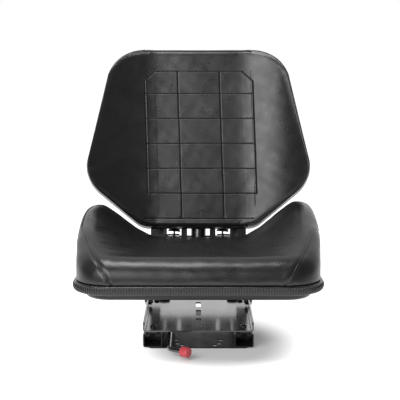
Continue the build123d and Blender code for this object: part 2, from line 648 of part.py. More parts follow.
def seat_trim():
    """A U-shaped edging that grips the pan's rim all round."""
    ring = level(pan_outline(TRIM_OUT), TRIM_BOTTOM, TRIM_BOTTOM + TRIM_HEIGHT)
    ring = fillet(ring.edges().group_by(Axis.Z)[0] + ring.edges().group_by(Axis.Z)[-1], TRIM_ROUND)
    ring -= level(pan_outline(-TRIM_IN), TRIM_BOTTOM - CUT_SPARE, TRIM_BOTTOM + TRIM_HEIGHT + CUT_SPARE)
    return ring - level(pan_outline(), RIM_Z - PAN_THICK, RIM_Z)


def pan_bolts():
    bolt = Pos(0, 0, -M8_HEAD) * hexagon(M8_HEX, M8_HEAD) + round_bar(M8_D, CROSSBAR_THICK + PAN_THICK)
    under = PAN_BOTTOM - CROSSBAR_THICK
    places = [Pos(side * PAN_BOLT_X, y, under) for side in SIDES.values() for y in CROSSBAR_Y]
    return Compound([place * bolt for place in places])


def cushion_section(y, middle, rise):
    """One cross section: a flat middle, slopes up to the bolsters, and rounded shoulders."""
    half = CUSHION_SECTION_HALF
    shoulder = CUSHION_BASE + SHOULDER_SHARE * (middle + rise - CUSHION_BASE)
    right = (
        (CUSHION_FLAT_HALF, middle),
        (CUSHION_SLOPE_HALF, middle + CUSHION_SLOPE_SHARE * rise),
        (BOLSTER_HALF, middle + rise),
        (half, shoulder),
    )
    left = tuple((-x, z) for x, z in reversed(right))
    top = Spline(*left, (0, middle), *right)
    sides = Polyline((half, shoulder), (half, CUSHION_BASE), (-half, CUSHION_BASE), (-half, shoulder))
    return Plane.XZ.offset(-y) * make_face(top + sides)


def seat_cushion():
    body = loft([cushion_section(*station) for station in CUSHION_STATIONS])
    body &= level(pan_outline(CUSHION_OUT), CUSHION_BASE, 2 * CUSHION_BASE)
    filling = pan_outline(-PAN_FLANGE - PAN_THICK - PAN_CORNER)
    return body + level(filling, PAN_BOTTOM + PAN_THICK + SOFT_GAP, CUSHION_BASE + CUT_SPARE)


# Backrest, drawn upright with its back on the column's front plane
def back_outline(grow=0.0):
    half = (
        (BACK_BOTTOM_HALF, BACK_BOTTOM),
        (BACK_WIDE_HALF, BACK_WIDE_AT),
        (BACK_TOP_HALF, BACK_TOP),
    )
    other = tuple((-x, z) for x, z in reversed(half))
    face = make_face(Polyline(*half, *other, close=True))
    rounds = (BACK_BOTTOM_ROUND, BACK_WIDE_ROUND, BACK_TOP_ROUND)
    for (x, z), radius in zip(half, rounds):
        near = [face.vertices().sort_by_distance((s * x, z, 0))[0] for s in (1, -1)]
        face = fillet(near, radius)
    return offset(face, grow) if grow else face


def back_prism(grow=0.0):
    return along_y(back_outline(grow), -2 * BACK_BEND, BACK_BEND)


def wrap_curve(forward):
    """The backrest's cross section at a distance in front of its back: flat, then bent at both sides."""
    radius = BACK_BEND - forward
    left = CenterArc((-BACK_FLAT_HALF, -BACK_BEND), radius, 90, WRAP_TURN)
    flat = Line((-BACK_FLAT_HALF, -forward), (BACK_FLAT_HALF, -forward))
    right = CenterArc((BACK_FLAT_HALF, -BACK_BEND), radius, 90, -WRAP_TURN)
    return left, flat, right


def wrap_layer(back, front):
    """A curved layer between two distances in front of the backrest's back."""
    outer = wrap_curve(back)
    inner = wrap_curve(front)
    ends = [Line(outer[i] @ 1, inner[i] @ 1) for i in (0, 2)]
    face = make_face([*outer, *inner, *ends])
    return extrude(face, BACK_TOP + BACK_BEND)


def back_shell():
    shell = wrap_layer(0, SHELL_THICK) & back_prism()
    drill = Rot(90, 0, 0) * Cylinder(M8_D / 2 + HOLE_CLEARANCE, 8 * SHELL_THICK)
    for along in BACK_BOLTS_AT:
        for side in SIDES.values():
            shell -= Pos(side * BACK_BOLT_X, 0, along) * drill
    return on_column(shell)


def back_trim():
    """An edging round the shell, in front of its rim."""
    ring = wrap_layer(0, BACK_TRIM_DEPTH) & (back_prism(BACK_TRIM_OUT) - back_prism(-BACK_TRIM_IN))
    return on_column(ring - (wrap_layer(0, SHELL_THICK) & back_prism()))


def grid_grooves():
    """The pressed lines on the face: columns, rows and a cut-off corner at each top end."""
    top = GRID_BOTTOM + GRID_ROWS * GRID_PITCH
    lines = Sketch()
    for x in (-GRID_HALF, -GRID_MIDDLE_HALF, GRID_MIDDLE_HALF, GRID_HALF):
        end = top - GRID_CHAMFER if abs(x) == GRID_HALF else top
        lines += Pos(x, (GRID_BOTTOM + end) / 2) * Rectangle(GROOVE_WIDTH, end - GRID_BOTTOM + GROOVE_WIDTH)
    for row in range(GRID_ROWS + 1):
        half = GRID_HALF - GRID_CHAMFER if row == GRID_ROWS else GRID_HALF
        lines += Pos(0, GRID_BOTTOM + row * GRID_PITCH) * Rectangle(2 * half + GROOVE_WIDTH, GROOVE_WIDTH)
    for side in SIDES.values():
        middle = Pos(side * (GRID_HALF - GRID_CHAMFER / 2), top - GRID_CHAMFER / 2)
        slant = Rectangle(GRID_CHAMFER * sqrt(2) + GROOVE_WIDTH, GROOVE_WIDTH)
        lines += middle * Rot(0, 0, -45 * side) * slant
    skin = wrap_layer(PAD_THICK - GROOVE_DEPTH, PAD_THICK + CUT_SPARE)
    return along_y(lines, -2 * BACK_BEND, BACK_BEND) & skin


def forward_of(point):
    """Distance of a point in front of the backrest's bent back."""
    beside = max(abs(point.X) - BACK_FLAT_HALF, 0)
    return BACK_BEND - sqrt(beside**2 + (BACK_BEND + point.Y) ** 2)


def is_front_rim(edge):
    """True on the pad's front outline, and not where its flat and bent faces run into each other."""
    middle = edge @ 0.5
    on_front = abs(forward_of(middle) - PAD_THICK) < TOUCH
    return on_front and abs(abs(middle.X) - BACK_FLAT_HALF) > TOUCH


def back_pad():
    base = SHELL_THICK + SOFT_GAP
    step = BACK_TRIM_DEPTH + SOFT_GAP
    front = wrap_layer(step, PAD_THICK) & back_prism(CUSHION_OUT)
    front = fillet([edge for edge in front.edges() if is_front_rim(edge)], PAD_ROUND)
    rear = wrap_layer(base, step + CUT_SPARE) & back_prism(-BACK_TRIM_IN - SOFT_GAP)
    return on_column(front + rear - grid_grooves())


def back_bolts():
    head = Rot(-90, 0, 0) * hexagon(M8_HEX, M8_HEAD)
    shank = Rot(90, 0, 0) * round_bar(M8_D, BACK_PLATE_THICK + SHELL_THICK)
    bolt = Pos(0, BACK_PLATE_THICK, 0) * (head + shank)
    places = [Pos(side * BACK_BOLT_X, 0, along) for side in SIDES.values() for along in BACK_BOLTS_AT]
    return Compound([on_column(place * bolt) for place in places])


# Slide latch
def grip_direction():
    return Vector(sin(radians(LEVER_SWEEP)), -cos(radians(LEVER_SWEEP)), 0)


def lever_corners():
    pivot = Vector(LEVER_X, PIVOT_Y, LEVER_Z)
    bend = Vector(LEVER_X, LEVER_BEND_Y, LEVER_Z)
    return pivot, bend, bend + LEVER_END * grip_direction()


def slide_lever():
    """A bent rod with an eye at its pivot and a tooth that drops into the left rail's notches."""
    pivot, bend, end = lever_corners()
    path = FilletPolyline(pivot, bend, end, radius=LEVER_BEND)
    rod = sweep(Plane(pivot, z_dir=(0, -1, 0)) * Circle(LEVER_D / 2), path)
    eye = Pos(pivot) * Cylinder(PIVOT_BOSS_D / 2, PIVOT_BOSS)
    hole = Pos(pivot) * Cylinder(PIVOT_PIN_D / 2 + PIVOT_CLEARANCE, 2 * PIVOT_BOSS)
    tip_x = -(RAIL_SPACING - RAIL_WIDTH) / 2 - RAIL_WALL - TOOTH_REACH
    tooth = Box(LEVER_X - tip_x, TOOTH_LENGTH, TOOTH_HEIGHT, align=(Align.MIN, Align.CENTER, Align.CENTER))
    return rod + eye - hole + Pos(tip_x, TOOTH_Y, LEVER_Z) * tooth


def lever_knob():
    """A moulded grip pushed on the rod's end."""
    end = lever_corners()[2]
    direction = grip_direction()
    grip = round_bar(KNOB_D, KNOB_LENGTH)
    grip = fillet(grip.edges().group_by(Axis.Z)[-1], KNOB_ROUND)
    grip = chamfer(grip.edges().group_by(Axis.Z)[0], (KNOB_D - KNOB_NECK_D) / 2)
    grip -= round_bar(LEVER_D, KNOB_SOCKET)
    return Plane(end - direction * KNOB_SOCKET, z_dir=direction) * grip


def pivot_pin():
    bottom = LEVER_Z - PIVOT_BOSS / 2 - PIVOT_HEAD
    pin = round_bar(PIVOT_PIN_D, TRAY_TOP - bottom) + round_bar(PIVOT_HEAD_D, PIVOT_HEAD - SOFT_GAP)
    return Pos(LEVER_X, PIVOT_Y, bottom) * pin


def lever_spring():
    """The lever's return spring, coiled round the pin above the eye and drawn as a sleeve."""
    start = LEVER_Z + PIVOT_BOSS / 2 + LEVER_SPRING_GAP
    height = HAT_TOP - start
    coil = round_bar(LEVER_SPRING_D, height) - round_bar(PIVOT_PIN_D + 2 * LEVER_SPRING_GAP, height)
    return Pos(LEVER_X, PIVOT_Y, start) * coil


PIECES = {
    "floor_plate": floor_plate,
    "suspension_tray": tray,
    "rail_bolts": rail_bolts,
    "head_bar": head_bar,
    "column_tie_plate": tie_plate,
    "damper_tube": damper_tube,
    "damper_rod": damper_rod,
    "damper_foot_bracket": damper_bracket,
    "back_plate": back_plate,
    "seat_pan": seat_pan,
    "seat_edge_trim": seat_trim,
    "pan_bolts": pan_bolts,
    "seat_cushion": seat_cushion,
    "backrest_shell": back_shell,
    "backrest_edge_trim": back_trim,
    "backrest_pad": back_pad,
    "backrest_bolts": back_bolts,
    "slide_lever": slide_lever,
    "lever_knob": lever_knob,
    "lever_pivot_pin": pivot_pin,
    "lever_spring": lever_spring,
}
PAIRS = {
    "lower_rail": lower_rail,
    "upper_rail": upper_rail,
    "side_bolt": side_bolt,
    "bump_stop": bump_stop,
    "guide_channel": guide_channel,
    "spring_eye_bolt": eye_bolt,
    "spring": spring,
    "spring_pin": spring_pin,
    "seat_side_plate": side_plate,
}

os.makedirs("parts", exist_ok=True)
for name, make in PIECES.items():
    export_step(make(), f"parts/{name}.step")
for side_name, side in SIDES.items():
    for name, make in PAIRS.items():
        export_step(make(side), f"parts/{name}_{side_name}.step")
    for place, end in (("front", -1), ("rear", 1)):
        export_step(rail_glide(side, end), f"parts/rail_glide_{place}_{side_name}.step")
    for place, start in zip(("lower", "upper"), SHOE_STARTS):
        export_step(guide_shoe(side, start), f"parts/guide_shoe_{place}_{side_name}.step")
for place, y in zip(("front", "rear"), CROSSBAR_Y):
    export_step(crossbar(y), f"parts/pan_crossbar_{place}.step")
for place, along in (("lower", DAMPER_FOOT), ("upper", DAMPER_HEAD)):
    export_step(damper_pin(along), f"parts/damper_pin_{place}.step")
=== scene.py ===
import json
import math

import bpy
import numpy as np
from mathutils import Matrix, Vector
from mathutils.bvhtree import BVHTree
from mathutils.interpolate import poly_3d_calc


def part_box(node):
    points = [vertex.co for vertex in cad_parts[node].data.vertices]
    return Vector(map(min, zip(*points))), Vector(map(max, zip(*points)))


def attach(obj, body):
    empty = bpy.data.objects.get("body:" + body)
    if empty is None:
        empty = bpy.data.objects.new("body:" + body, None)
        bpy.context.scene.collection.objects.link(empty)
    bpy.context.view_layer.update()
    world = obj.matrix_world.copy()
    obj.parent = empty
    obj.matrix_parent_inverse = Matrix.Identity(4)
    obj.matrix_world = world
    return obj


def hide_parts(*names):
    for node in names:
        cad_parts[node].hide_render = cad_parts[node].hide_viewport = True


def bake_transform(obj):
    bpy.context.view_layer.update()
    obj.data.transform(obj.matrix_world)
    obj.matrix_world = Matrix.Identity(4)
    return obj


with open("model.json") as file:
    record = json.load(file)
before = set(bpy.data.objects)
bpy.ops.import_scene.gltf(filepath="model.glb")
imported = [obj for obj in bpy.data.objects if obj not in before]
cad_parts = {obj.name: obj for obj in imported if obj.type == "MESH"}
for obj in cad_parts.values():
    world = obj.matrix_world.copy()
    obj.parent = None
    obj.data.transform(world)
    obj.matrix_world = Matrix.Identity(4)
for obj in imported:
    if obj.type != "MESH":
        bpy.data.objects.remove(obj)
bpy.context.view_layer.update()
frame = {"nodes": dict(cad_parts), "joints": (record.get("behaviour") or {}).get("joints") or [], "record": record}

bl_info = {
    "name": "Tractor Seat",
    "version": (1, 0, 0),
    "blender": (4, 5, 0),
    "location": "View3D > Sidebar > Tractor Seat",
    "description": "Dresses a sprung tractor seat: padded vinyl, edge trim, springs, finishes and a studio",
    "category": "Object",
}

SIDES = {"left": -1, "right": 1}
MIRRORED = np.array([-1.0, 1.0])

# Places that come from the frame
SUSPENSION = next(joint for joint in frame["joints"] if joint["name"] == "suspension")
LEAN_SIN, LEAN_COS = SUSPENSION["axis"][1:]
LEAN = math.atan2(LEAN_SIN, LEAN_COS)
TRIM_LOW, TRIM_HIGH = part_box("seat_edge_trim")
CUSHION_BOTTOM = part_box("seat_cushion")[0].z
TRAY_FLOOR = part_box("bump_stop_left")[0].z

# How far the edge trim stands out from the pan's outline, and the outline's ends
TRIM_PROUD = 0.004
PAN_FRONT = TRIM_LOW.y + TRIM_PROUD
PAN_REAR = TRIM_HIGH.y - TRIM_PROUD
# Hair's breadth between a pad and the edge trim that it rests on
TRIM_GAP = 0.0003


def number(name, about, default, precision=3, **more):
    return bpy.props.FloatProperty(name=name, description=about, default=default, precision=precision, **more)


def length(name, about, default):
    return number(name, about, default, precision=4, unit="LENGTH")


def colour(name, about, default):
    return bpy.props.FloatVectorProperty(
        name=name, description=about, default=default, subtype="COLOR", size=3, min=0.0, max=1.0
    )


def count(name, about, default, **more):
    return bpy.props.IntProperty(name=name, description=about, default=default, **more)


# Settings that a user would change
class SeatFinishSettings(bpy.types.PropertyGroup):
    vinyl: colour("Vinyl", "Black grained vinyl of the cushion and backrest", (0.0095, 0.0095, 0.0097))
    thread: colour("Thread", "Seam thread", (0.012, 0.012, 0.012))
    enamel: colour("Enamel", "Gloss black enamel on the steel", (0.008, 0.008, 0.0085))
    zinc: colour("Zinc plate", "Plated bolts and pins", (0.60, 0.60, 0.58))
    spring: colour("Spring steel", "Dark oiled springs", (0.045, 0.045, 0.048))
    edging: colour("Edging", "Black vinyl edge trim", (0.014, 0.014, 0.014))
    nylon: colour("Nylon", "Black nylon guides", (0.030, 0.030, 0.031))
    rubber: colour("Rubber", "Bump stops", (0.018, 0.018, 0.018))
    grip: colour("Grip", "Red lever grip", (0.68, 0.085, 0.105))


class SeatCushionSettings(bpy.types.PropertyGroup):
    front_half: length("Front half width", "Half width of the pan at its front", 0.236)
    rear_half: length("Rear half width", "Half width of the pan at its rear", 0.228)
    front_round: length("Front rounding", "Radius of the front corners in plan", 0.068)
    rear_round: length("Rear rounding", "Radius of the rear corners in plan", 0.100)
    front_inset: length("Front inset", "Width in plan of the rounded front edge", 0.031)
    side_inset: length("Side inset", "Width in plan of the rounded side edge", 0.017)
    front_drop: length("Front drop", "Height of the rounded front edge", 0.036)
    side_drop: length("Side drop", "Height of the rounded side edge", 0.016)
    bulge: length("Side bulge", "How far the side wall stands out", 0.0015)
    flare: length("Bolster flare", "How far the tops of the bolsters lean out", 0.007)
    edge_gap: length("Edge gap", "How far the wall stays inside the edge trim", 0.0015)
    lopsided: number("Lopsided", "Share by which the right bolster is the taller", 0.05)
    mesh_step: length("Mesh step", "Spacing of the finished mesh", 0.0032)
    cloth_step: length("Cloth step", "Spacing of the simulated mesh", 0.0085)
    cloth_cap: length("Swell limit", "Most that the cloth may swell", 0.005)


class BackrestSettings(bpy.types.PropertyGroup):
    bottom: length("Bottom", "Height of the lower edge up the column", 0.150)
    wide_at: length("Wide at", "Height of the widest place up the column", 0.252)
    top: length("Top", "Height of the top edge up the column", 0.541)
    bottom_half: length("Bottom half width", "Half width of the lower edge", 0.124)
    wide_half: length("Wide half width", "Half width at the widest place", 0.247)
    top_half: length("Top half width", "Half width at the top", 0.184)
    bottom_round: length("Bottom rounding", "Radius of the lower corners", 0.040)
    wide_round: length("Wide rounding", "Radius of the side corners", 0.072)
    top_round: length("Top rounding", "Radius of the top corners", 0.084)
    flat_half: length("Flat half width", "Half width of the flat middle", 0.085)
    bend: length("Bend", "Radius of the bent sides", 0.260)
    thick: length("Thickness", "Front face in front of the shell's back", 0.050)
    trim_depth: length("Trim depth", "Depth of the edge trim behind the pad", 0.0143)
    inset: length("Edge inset", "Width of the rounded edge", 0.011)
    drop: length("Edge drop", "Depth of the rounded edge", 0.011)
    bulge: length("Side bulge", "How far the side band stands out", 0.002)
    edge_gap: length("Edge gap", "How far the pad stays inside the shell's edge", -0.001)
    grid_half: length("Grid half width", "Half width of the pressed grid", 0.119)
    grid_middle: length("Grid middle", "Half width of the grid's middle column", 0.046)
    grid_bottom: length("Grid bottom", "Height of the lowest line up the column", 0.168)
    grid_pitch: length("Grid pitch", "Height of one row", 0.055)
    grid_rows: count("Grid rows", "Number of rows", 6, min=1)
    grid_top_row: length("Top row", "Height of the grid's top row", 0.0495)
    grid_corner: length("Grid corner", "Cut-off at the grid's top corners", 0.022)
    grid_skew: length("Grid skew", "How far the cover's lines run to one side at the foot", 0.0105)
    groove_half: length("Groove half width", "Half width of a pressed line", 0.0017)
    groove_depth: length("Groove depth", "Depth of a pressed line", 0.0012)
    mesh_step: length("Mesh step", "Spacing of the finished mesh", 0.0034)
    cloth_step: length("Cloth step", "Spacing of the simulated mesh", 0.0085)
    cloth_cap: length("Swell limit", "Most that the cloth may swell", 0.0045)


class SeamSettings(bpy.types.PropertyGroup):
    welt_radius: length("Welt radius", "Radius of the cord in a seam", 0.0014)
    valley_depth: length("Valley depth", "How far the cover pulls in at a seam", 0.0015)
    valley_half: length("Valley half width", "Half width of that pull", 0.0055)
    stitch_pitch: length("Stitch pitch", "Length of one stitch and its gap", 0.0062)
    stitch_radius: length("Stitch radius", "Radius of the thread", 0.00055)
    stitch_inset: length("Stitch inset", "Distance of the stitches from the seam", 0.0065)


class TrimSettings(bpy.types.PropertyGroup):
    rib_pitch: length("Rib pitch", "Distance from rib to rib", 0.0051)
    rib_height: length("Rib height", "Height of a rib", 0.0125)
    rib_width: length("Rib width", "Width of a rib", 0.0026)
    rib_proud: length("Rib proud", "How far a rib stands out", 0.0020)


class SpringSettings(bpy.types.PropertyGroup):
    across: length("Distance from the middle", "Sideways place of each spring", 0.054)
    setback: length("Setback", "Distance behind the column's front", 0.022)
    coil_low: length("Coil start", "Lower end of the coils up the column", 0.1427)
    coil_high: length("Coil end", "Upper end of the coils up the column", 0.2833)
    loop_low: length("Lower loop", "Middle of the lower loop up the column", 0.1337)
    loop_high: length("Upper loop", "Middle of the upper loop up the column", 0.2923)
    loop_radius: length("Loop radius", "Radius of each end loop", 0.009)
    coil_radius: length("Coil radius", "Radius of the coils at the wire's middle", 0.012)
    wire_radius: length("Wire radius", "Radius of the wire", 0.002)
    turns: number("Turns", "Number of coils", 31.0, min=1.0)
    lever_turns: number("Lever spring turns", "Coils of the lever's return spring", 4.0, min=1.0)
    lever_wire: length("Lever spring wire", "Wire radius of the lever's return spring", 0.0011)


class StageSettings(bpy.types.PropertyGroup):
    camera_y: length("Camera distance", "Place of the camera in front of the seat", -2.415)
    camera_z: length("Camera height", "Height of the camera", 0.640)
    camera_pitch: number("Camera pitch", "How far the camera looks down", math.radians(8.7), subtype="ANGLE")
    camera_lens: number("Lens", "Focal length in millimetres on a 36 mm sensor", 106.0)
    camera_shift: number("Shift", "Sideways shift of the picture", 0.004)
    floor_colour: colour("Floor", "Pale studio floor", (0.80, 0.80, 0.80))
    floor_size: length("Floor size", "Width of the studio floor", 30.0)
    floor_glow: number("Floor glow", "Light that the floor beside the seat shows the camera by itself", 0.20)
    key_power: number("Key light", "Power of the soft light to the left of the camera, in watts", 40.0)
    top_power: number("Top light", "Power of the soft light overhead, in watts", 23.0)
    fill: number("Fill", "Strength of the studio's all-round light", 0.17)


SETTINGS = {
    "finish": SeatFinishSettings,
    "cushion": SeatCushionSettings,
    "backrest": BackrestSettings,
    "seams": SeamSettings,
    "trim": TrimSettings,
    "springs": SpringSettings,
    "stage": StageSettings,
}


class TractorSeatSettings(bpy.types.PropertyGroup):
    finish: bpy.props.PointerProperty(type=SeatFinishSettings, name="Finishes")
    cushion: bpy.props.PointerProperty(type=SeatCushionSettings, name="Seat cushion")
    backrest: bpy.props.PointerProperty(type=BackrestSettings, name="Backrest")
    seams: bpy.props.PointerProperty(type=SeamSettings, name="Seams")
    trim: bpy.props.PointerProperty(type=TrimSettings, name="Edge trim")
    springs: bpy.props.PointerProperty(type=SpringSettings, name="Springs")
    stage: bpy.props.PointerProperty(type=StageSettings, name="Stage")


def settings():
    return bpy.context.scene.tractor_seat


# Curves and forms
def smooth_curve(knots, at):
    """A smooth line through knots that doesn't overshoot them, read at an array of places."""
    x, y = (np.array(values, float) for values in zip(*knots))
    step = np.diff(x)
    slope = np.diff(y) / step
    tangent = np.zeros(len(x))
    same = slope[:-1] * slope[1:] > 0
    total = slope[:-1] + slope[1:]
    tangent[1:-1][same] = 2 * (slope[:-1] * slope[1:])[same] / total[same]
    tangent[0], tangent[-1] = slope[0], slope[-1]
    at = np.clip(at, x[0], x[-1])
    i = np.clip(np.searchsorted(x, at) - 1, 0, len(step) - 1)
    t = (at - x[i]) / step[i]
    ease = t * t * (3 - 2 * t)
    rise = tangent[i] * t * (1 - t) ** 2 - tangent[i + 1] * t * t * (1 - t)
    return y[i] * (1 - ease) + y[i + 1] * ease + step[i] * rise


def smooth_step(low, high, value):
    t = np.clip((value - low) / (high - low), 0, 1)
    return t * t * (3 - 2 * t)


def path_through(points, spacing):
    """A smooth open path through points, at an even spacing."""
    points = np.array(points, float)
    gaps = np.linalg.norm(np.diff(points, axis=0), axis=1)
    at = np.concatenate([[0], np.cumsum(gaps)])
    places = np.linspace(0, at[-1], max(2, int(at[-1] / spacing)))
    return np.stack([smooth_curve(list(zip(at, column)), places) for column in points.T], axis=1)


def rounded_side(corners, radii, step):
    """The right side of a symmetric outline, from the end of its bottom edge to the end of its top edge.
    Returns the points and their outward directions."""
    path = [(0.0, corners[0][1]), *corners, (0.0, corners[-1][1])]
    path = [np.array(point) for point in path]
    points, outward = [], []
    for before, corner, after, radius in zip(path, path[1:], path[2:], radii):
        arriving = (corner - before) / np.linalg.norm(corner - before)
        leaving = (after - corner) / np.linalg.norm(after - corner)
        turn = math.acos(float(np.clip(arriving @ leaving, -1, 1)))
        start = corner - arriving * radius * math.tan(turn / 2)
        centre = start + radius * np.array([-arriving[1], arriving[0]])
        first = np.array([arriving[1], -arriving[0]])
        if points:
            pieces = max(1, int(np.linalg.norm(start - points[-1]) / step))
            for share in np.arange(1, pieces) / pieces:
                points.append(last + (start - last) * share)
                outward.append(first)
        for angle in np.linspace(0, turn, max(3, int(radius * turn / step))):
            across = first * math.cos(angle) + arriving * math.sin(angle)
            points.append(centre + radius * across)
            outward.append(across)
        last = points[-1]
    return np.array(points), np.array(outward)


# Number of waves in an unevenness, and the range of their sizes
WAVES = 9
WAVE_RANGE = (0.6, 1.6)


def uneven(points, size, seed):
    """A soft unevenness from -1 to 1 over points, with waves of about that size."""
    draw = np.random.default_rng(seed)
    total = np.zeros(len(points))
    for _ in range(WAVES):
        direction = draw.normal(size=3)
        direction *= draw.uniform(*WAVE_RANGE) * 2 * math.pi / size / np.linalg.norm(direction)
        total += np.sin(points @ direction + draw.uniform(0, 2 * math.pi))
    return total / WAVES


def near_path(points, path):
    """Distance of each point to the nearest point of a path."""
    nearest = np.full(len(points), np.inf)
    stretch = 64
    for start in range(0, len(path), stretch):
        part = path[start : start + stretch]
        gaps = np.linalg.norm(points[:, None, :] - part[None, :, :], axis=2)
        nearest = np.minimum(nearest, gaps.min(axis=1))
    return nearest


class Edge:
    """How a pad turns over its rim: the roll's width in each row, its drop, the wall's bulge, and the
    wall's flare by height."""

    def __init__(self, inset, drop, bulge, flare):
        self.inset, self.drop, self.bulge, self.flare = inset, drop, bulge, flare


# A pad: a net of rows and columns on its face, then rings over its edge, its wall and its hidden underside
class Pad:
    ROLL_STEPS = 9

    def __init__(self, side, outward, columns, height, edge, base, underside, wall_steps):
        self.rows, self.across = len(side), len(columns(side[0, 0]))
        x = np.array([columns(half) for half in side[:, 0]])
        v = np.repeat(side[:, 1:2], self.across, axis=1)
        self.net = np.arange(self.rows * self.across).reshape(self.rows, self.across)
        plan = [np.stack([x.ravel(), v.ravel(), height(x.ravel(), v.ravel())], axis=1)]
        self.border = self.loop(self.net)
        rim = plan[0][self.border]
        out = self.border_directions(outward)
        fall = edge.drop(rim[:, 0], rim[:, 1])
        inset = self.round_border(np.broadcast_to(edge.inset, self.rows))
        rings = []
        for angle in np.linspace(0, math.pi / 2, self.ROLL_STEPS + 1)[1:]:
            level = rim[:, 2] - fall * (1 - math.cos(angle))
            rings.append(((inset + edge.flare(level)) * math.sin(angle), level))
        wall_top = rim[:, 2] - fall
        for share in np.arange(1, wall_steps + 1) / wall_steps:
            level = wall_top + (base - wall_top) * share
            rings.append((inset + edge.flare(level) + edge.bulge * math.sin(math.pi * share), level))
        for offset, level in underside:
            rings.append((inset + offset, np.full(len(rim), level)))
        for offset, level in rings:
            plan.append(np.column_stack([rim[:, :2] + out * offset[:, None], level]))
        ring_starts = len(plan[0]) + len(rim) * np.arange(len(rings))
        self.rings = [self.border] + [start + np.arange(len(rim)) for start in ring_starts]
        middle = plan[-1].mean(axis=0)
        self.plan = np.vstack([*plan, middle[None, :]])
        self.faces = self.make_faces()

    def loop(self, net):
        return np.concatenate([net[0, :], net[1:, -1], net[-1, -2::-1], net[-2:0:-1, 0]])

    def round_border(self, by_row):
        first, last = np.full(self.across, by_row[0]), np.full(self.across - 1, by_row[-1])
        return np.concatenate([first, by_row[1:], last, by_row[-2:0:-1]])

    def border_directions(self, outward):
        down = np.tile([0.0, -1.0], (self.across, 1))
        right = outward[1:]
        up = np.tile([0.0, 1.0], (self.across - 1, 1))
        left = outward[-2:0:-1] * MIRRORED
        return np.vstack([down, right, up, left])

    def make_faces(self):
        net = self.net
        quads = np.stack([net[:-1, :-1], net[:-1, 1:], net[1:, 1:], net[1:, :-1]], axis=-1).reshape(-1, 4)
        faces = quads.tolist()
        for inner, outer in zip(self.rings, self.rings[1:]):
            ahead_inner, ahead_outer = np.roll(inner, -1), np.roll(outer, -1)
            faces += np.stack([inner, outer, ahead_outer, ahead_inner], axis=-1).tolist()
        last = self.rings[-1]
        middle = len(self.plan) - 1
        faces += [[int(a), middle, int(b)] for a, b in zip(last, np.roll(last, -1))]
        return faces


def new_object(name, points, faces, edges=()):
    mesh = bpy.data.meshes.new(name)
    mesh.from_pydata(np.asarray(points).tolist(), list(edges), faces)
    mesh.update()
    made = bpy.data.objects.new(name, mesh)
    bpy.context.scene.collection.objects.link(made)
    return made


def smooth_faces(obj):
    obj.data.polygons.foreach_set("use_smooth", np.ones(len(obj.data.polygons), bool))


def points_of(obj):
    flat = np.zeros(len(obj.data.vertices) * 3)
    obj.data.vertices.foreach_get("co", flat)
    return flat.reshape(-1, 3)


def set_points(obj, points):
    obj.data.vertices.foreach_set("co", points.ravel())
    obj.data.update()


def normals_of(obj):
    flat = np.zeros(len(obj.data.vertices) * 3)
    obj.data.vertex_normals.foreach_get("vector", flat)
    return flat.reshape(-1, 3)


def lift_points(obj, lift):
    """Move each point outwards by its own lift."""
    set_points(obj, points_of(obj) + normals_of(obj) * lift[:, None])


def eased(obj, values, shares, times):
    """Draw the values at each point towards its neighbours' mean by its share, several times."""
    ends = np.empty(2 * len(obj.data.edges), dtype=np.int32)
    obj.data.edges.foreach_get("vertices", ends)
    joined = np.concatenate([ends[0::2], ends[1::2]])
    others = np.concatenate([ends[1::2], ends[0::2]])
    neighbours = np.maximum(np.bincount(joined, minlength=len(values)), 1)
    for _ in range(times):
        sums = [np.bincount(joined, values[others, axis], len(values)) for axis in range(3)]
        mean = np.column_stack(sums) / neighbours[:, None]
        values = values + 0.5 * shares[:, None] * (mean - values)
    return values


def remove_object(obj):
    mesh = obj.data
    bpy.data.objects.remove(obj)
    bpy.data.meshes.remove(mesh)


# Cloth: the cover swells under pressure while its sewn edge is held
CLOTH_FRAMES = 20
CLOTH_PRESSURE = 60.0
CLOTH_HOLD = 0.35
CLOTH_QUALITY = 5
CARRY_EASINGS = 6


def swell(obj, held, cap):
    """How far each point of a closed cover moves under pressure, at most as far as the cap."""
    rest = points_of(obj)
    group = obj.vertex_groups.new(name="held")
    free = np.setdiff1d(np.arange(len(rest)), held)
    for members, weight in ((held, 1.0), (free, CLOTH_HOLD)):
        group.add([int(i) for i in members], weight, "REPLACE")
    cloth = obj.modifiers.new("cover", "CLOTH")
    cloth.settings.vertex_group_mass = group.name
    cloth.settings.pin_stiffness = 1.0
    cloth.settings.use_pressure = True
    cloth.settings.uniform_pressure_force = CLOTH_PRESSURE
    cloth.settings.effector_weights.gravity = 0.0
    cloth.settings.quality = CLOTH_QUALITY
    cloth.point_cache.frame_start = 1
    cloth.point_cache.frame_end = CLOTH_FRAMES
    scene = bpy.context.scene
    for number_of_frame in range(1, CLOTH_FRAMES + 1):
        scene.frame_set(number_of_frame)
    graph = bpy.context.evaluated_depsgraph_get()
    settled = bpy.data.meshes.new_from_object(obj.evaluated_get(graph))
    flat = np.zeros(len(settled.vertices) * 3)
    settled.vertices.foreach_get("co", flat)
    obj.modifiers.remove(cloth)
    bpy.data.meshes.remove(settled)
    scene.frame_set(1)
    moved = flat.reshape(-1, 3) - rest
    far = np.linalg.norm(moved, axis=1, keepdims=True)
    return moved * cap / np.maximum(far, cap)


def surface_of(obj):
    """A mesh's points and faces, and a tree that finds the nearest place on it."""
    points = points_of(obj)
    faces = [list(face.vertices) for face in obj.data.polygons]
    return points, faces, BVHTree.FromPolygons(points.tolist(), faces)


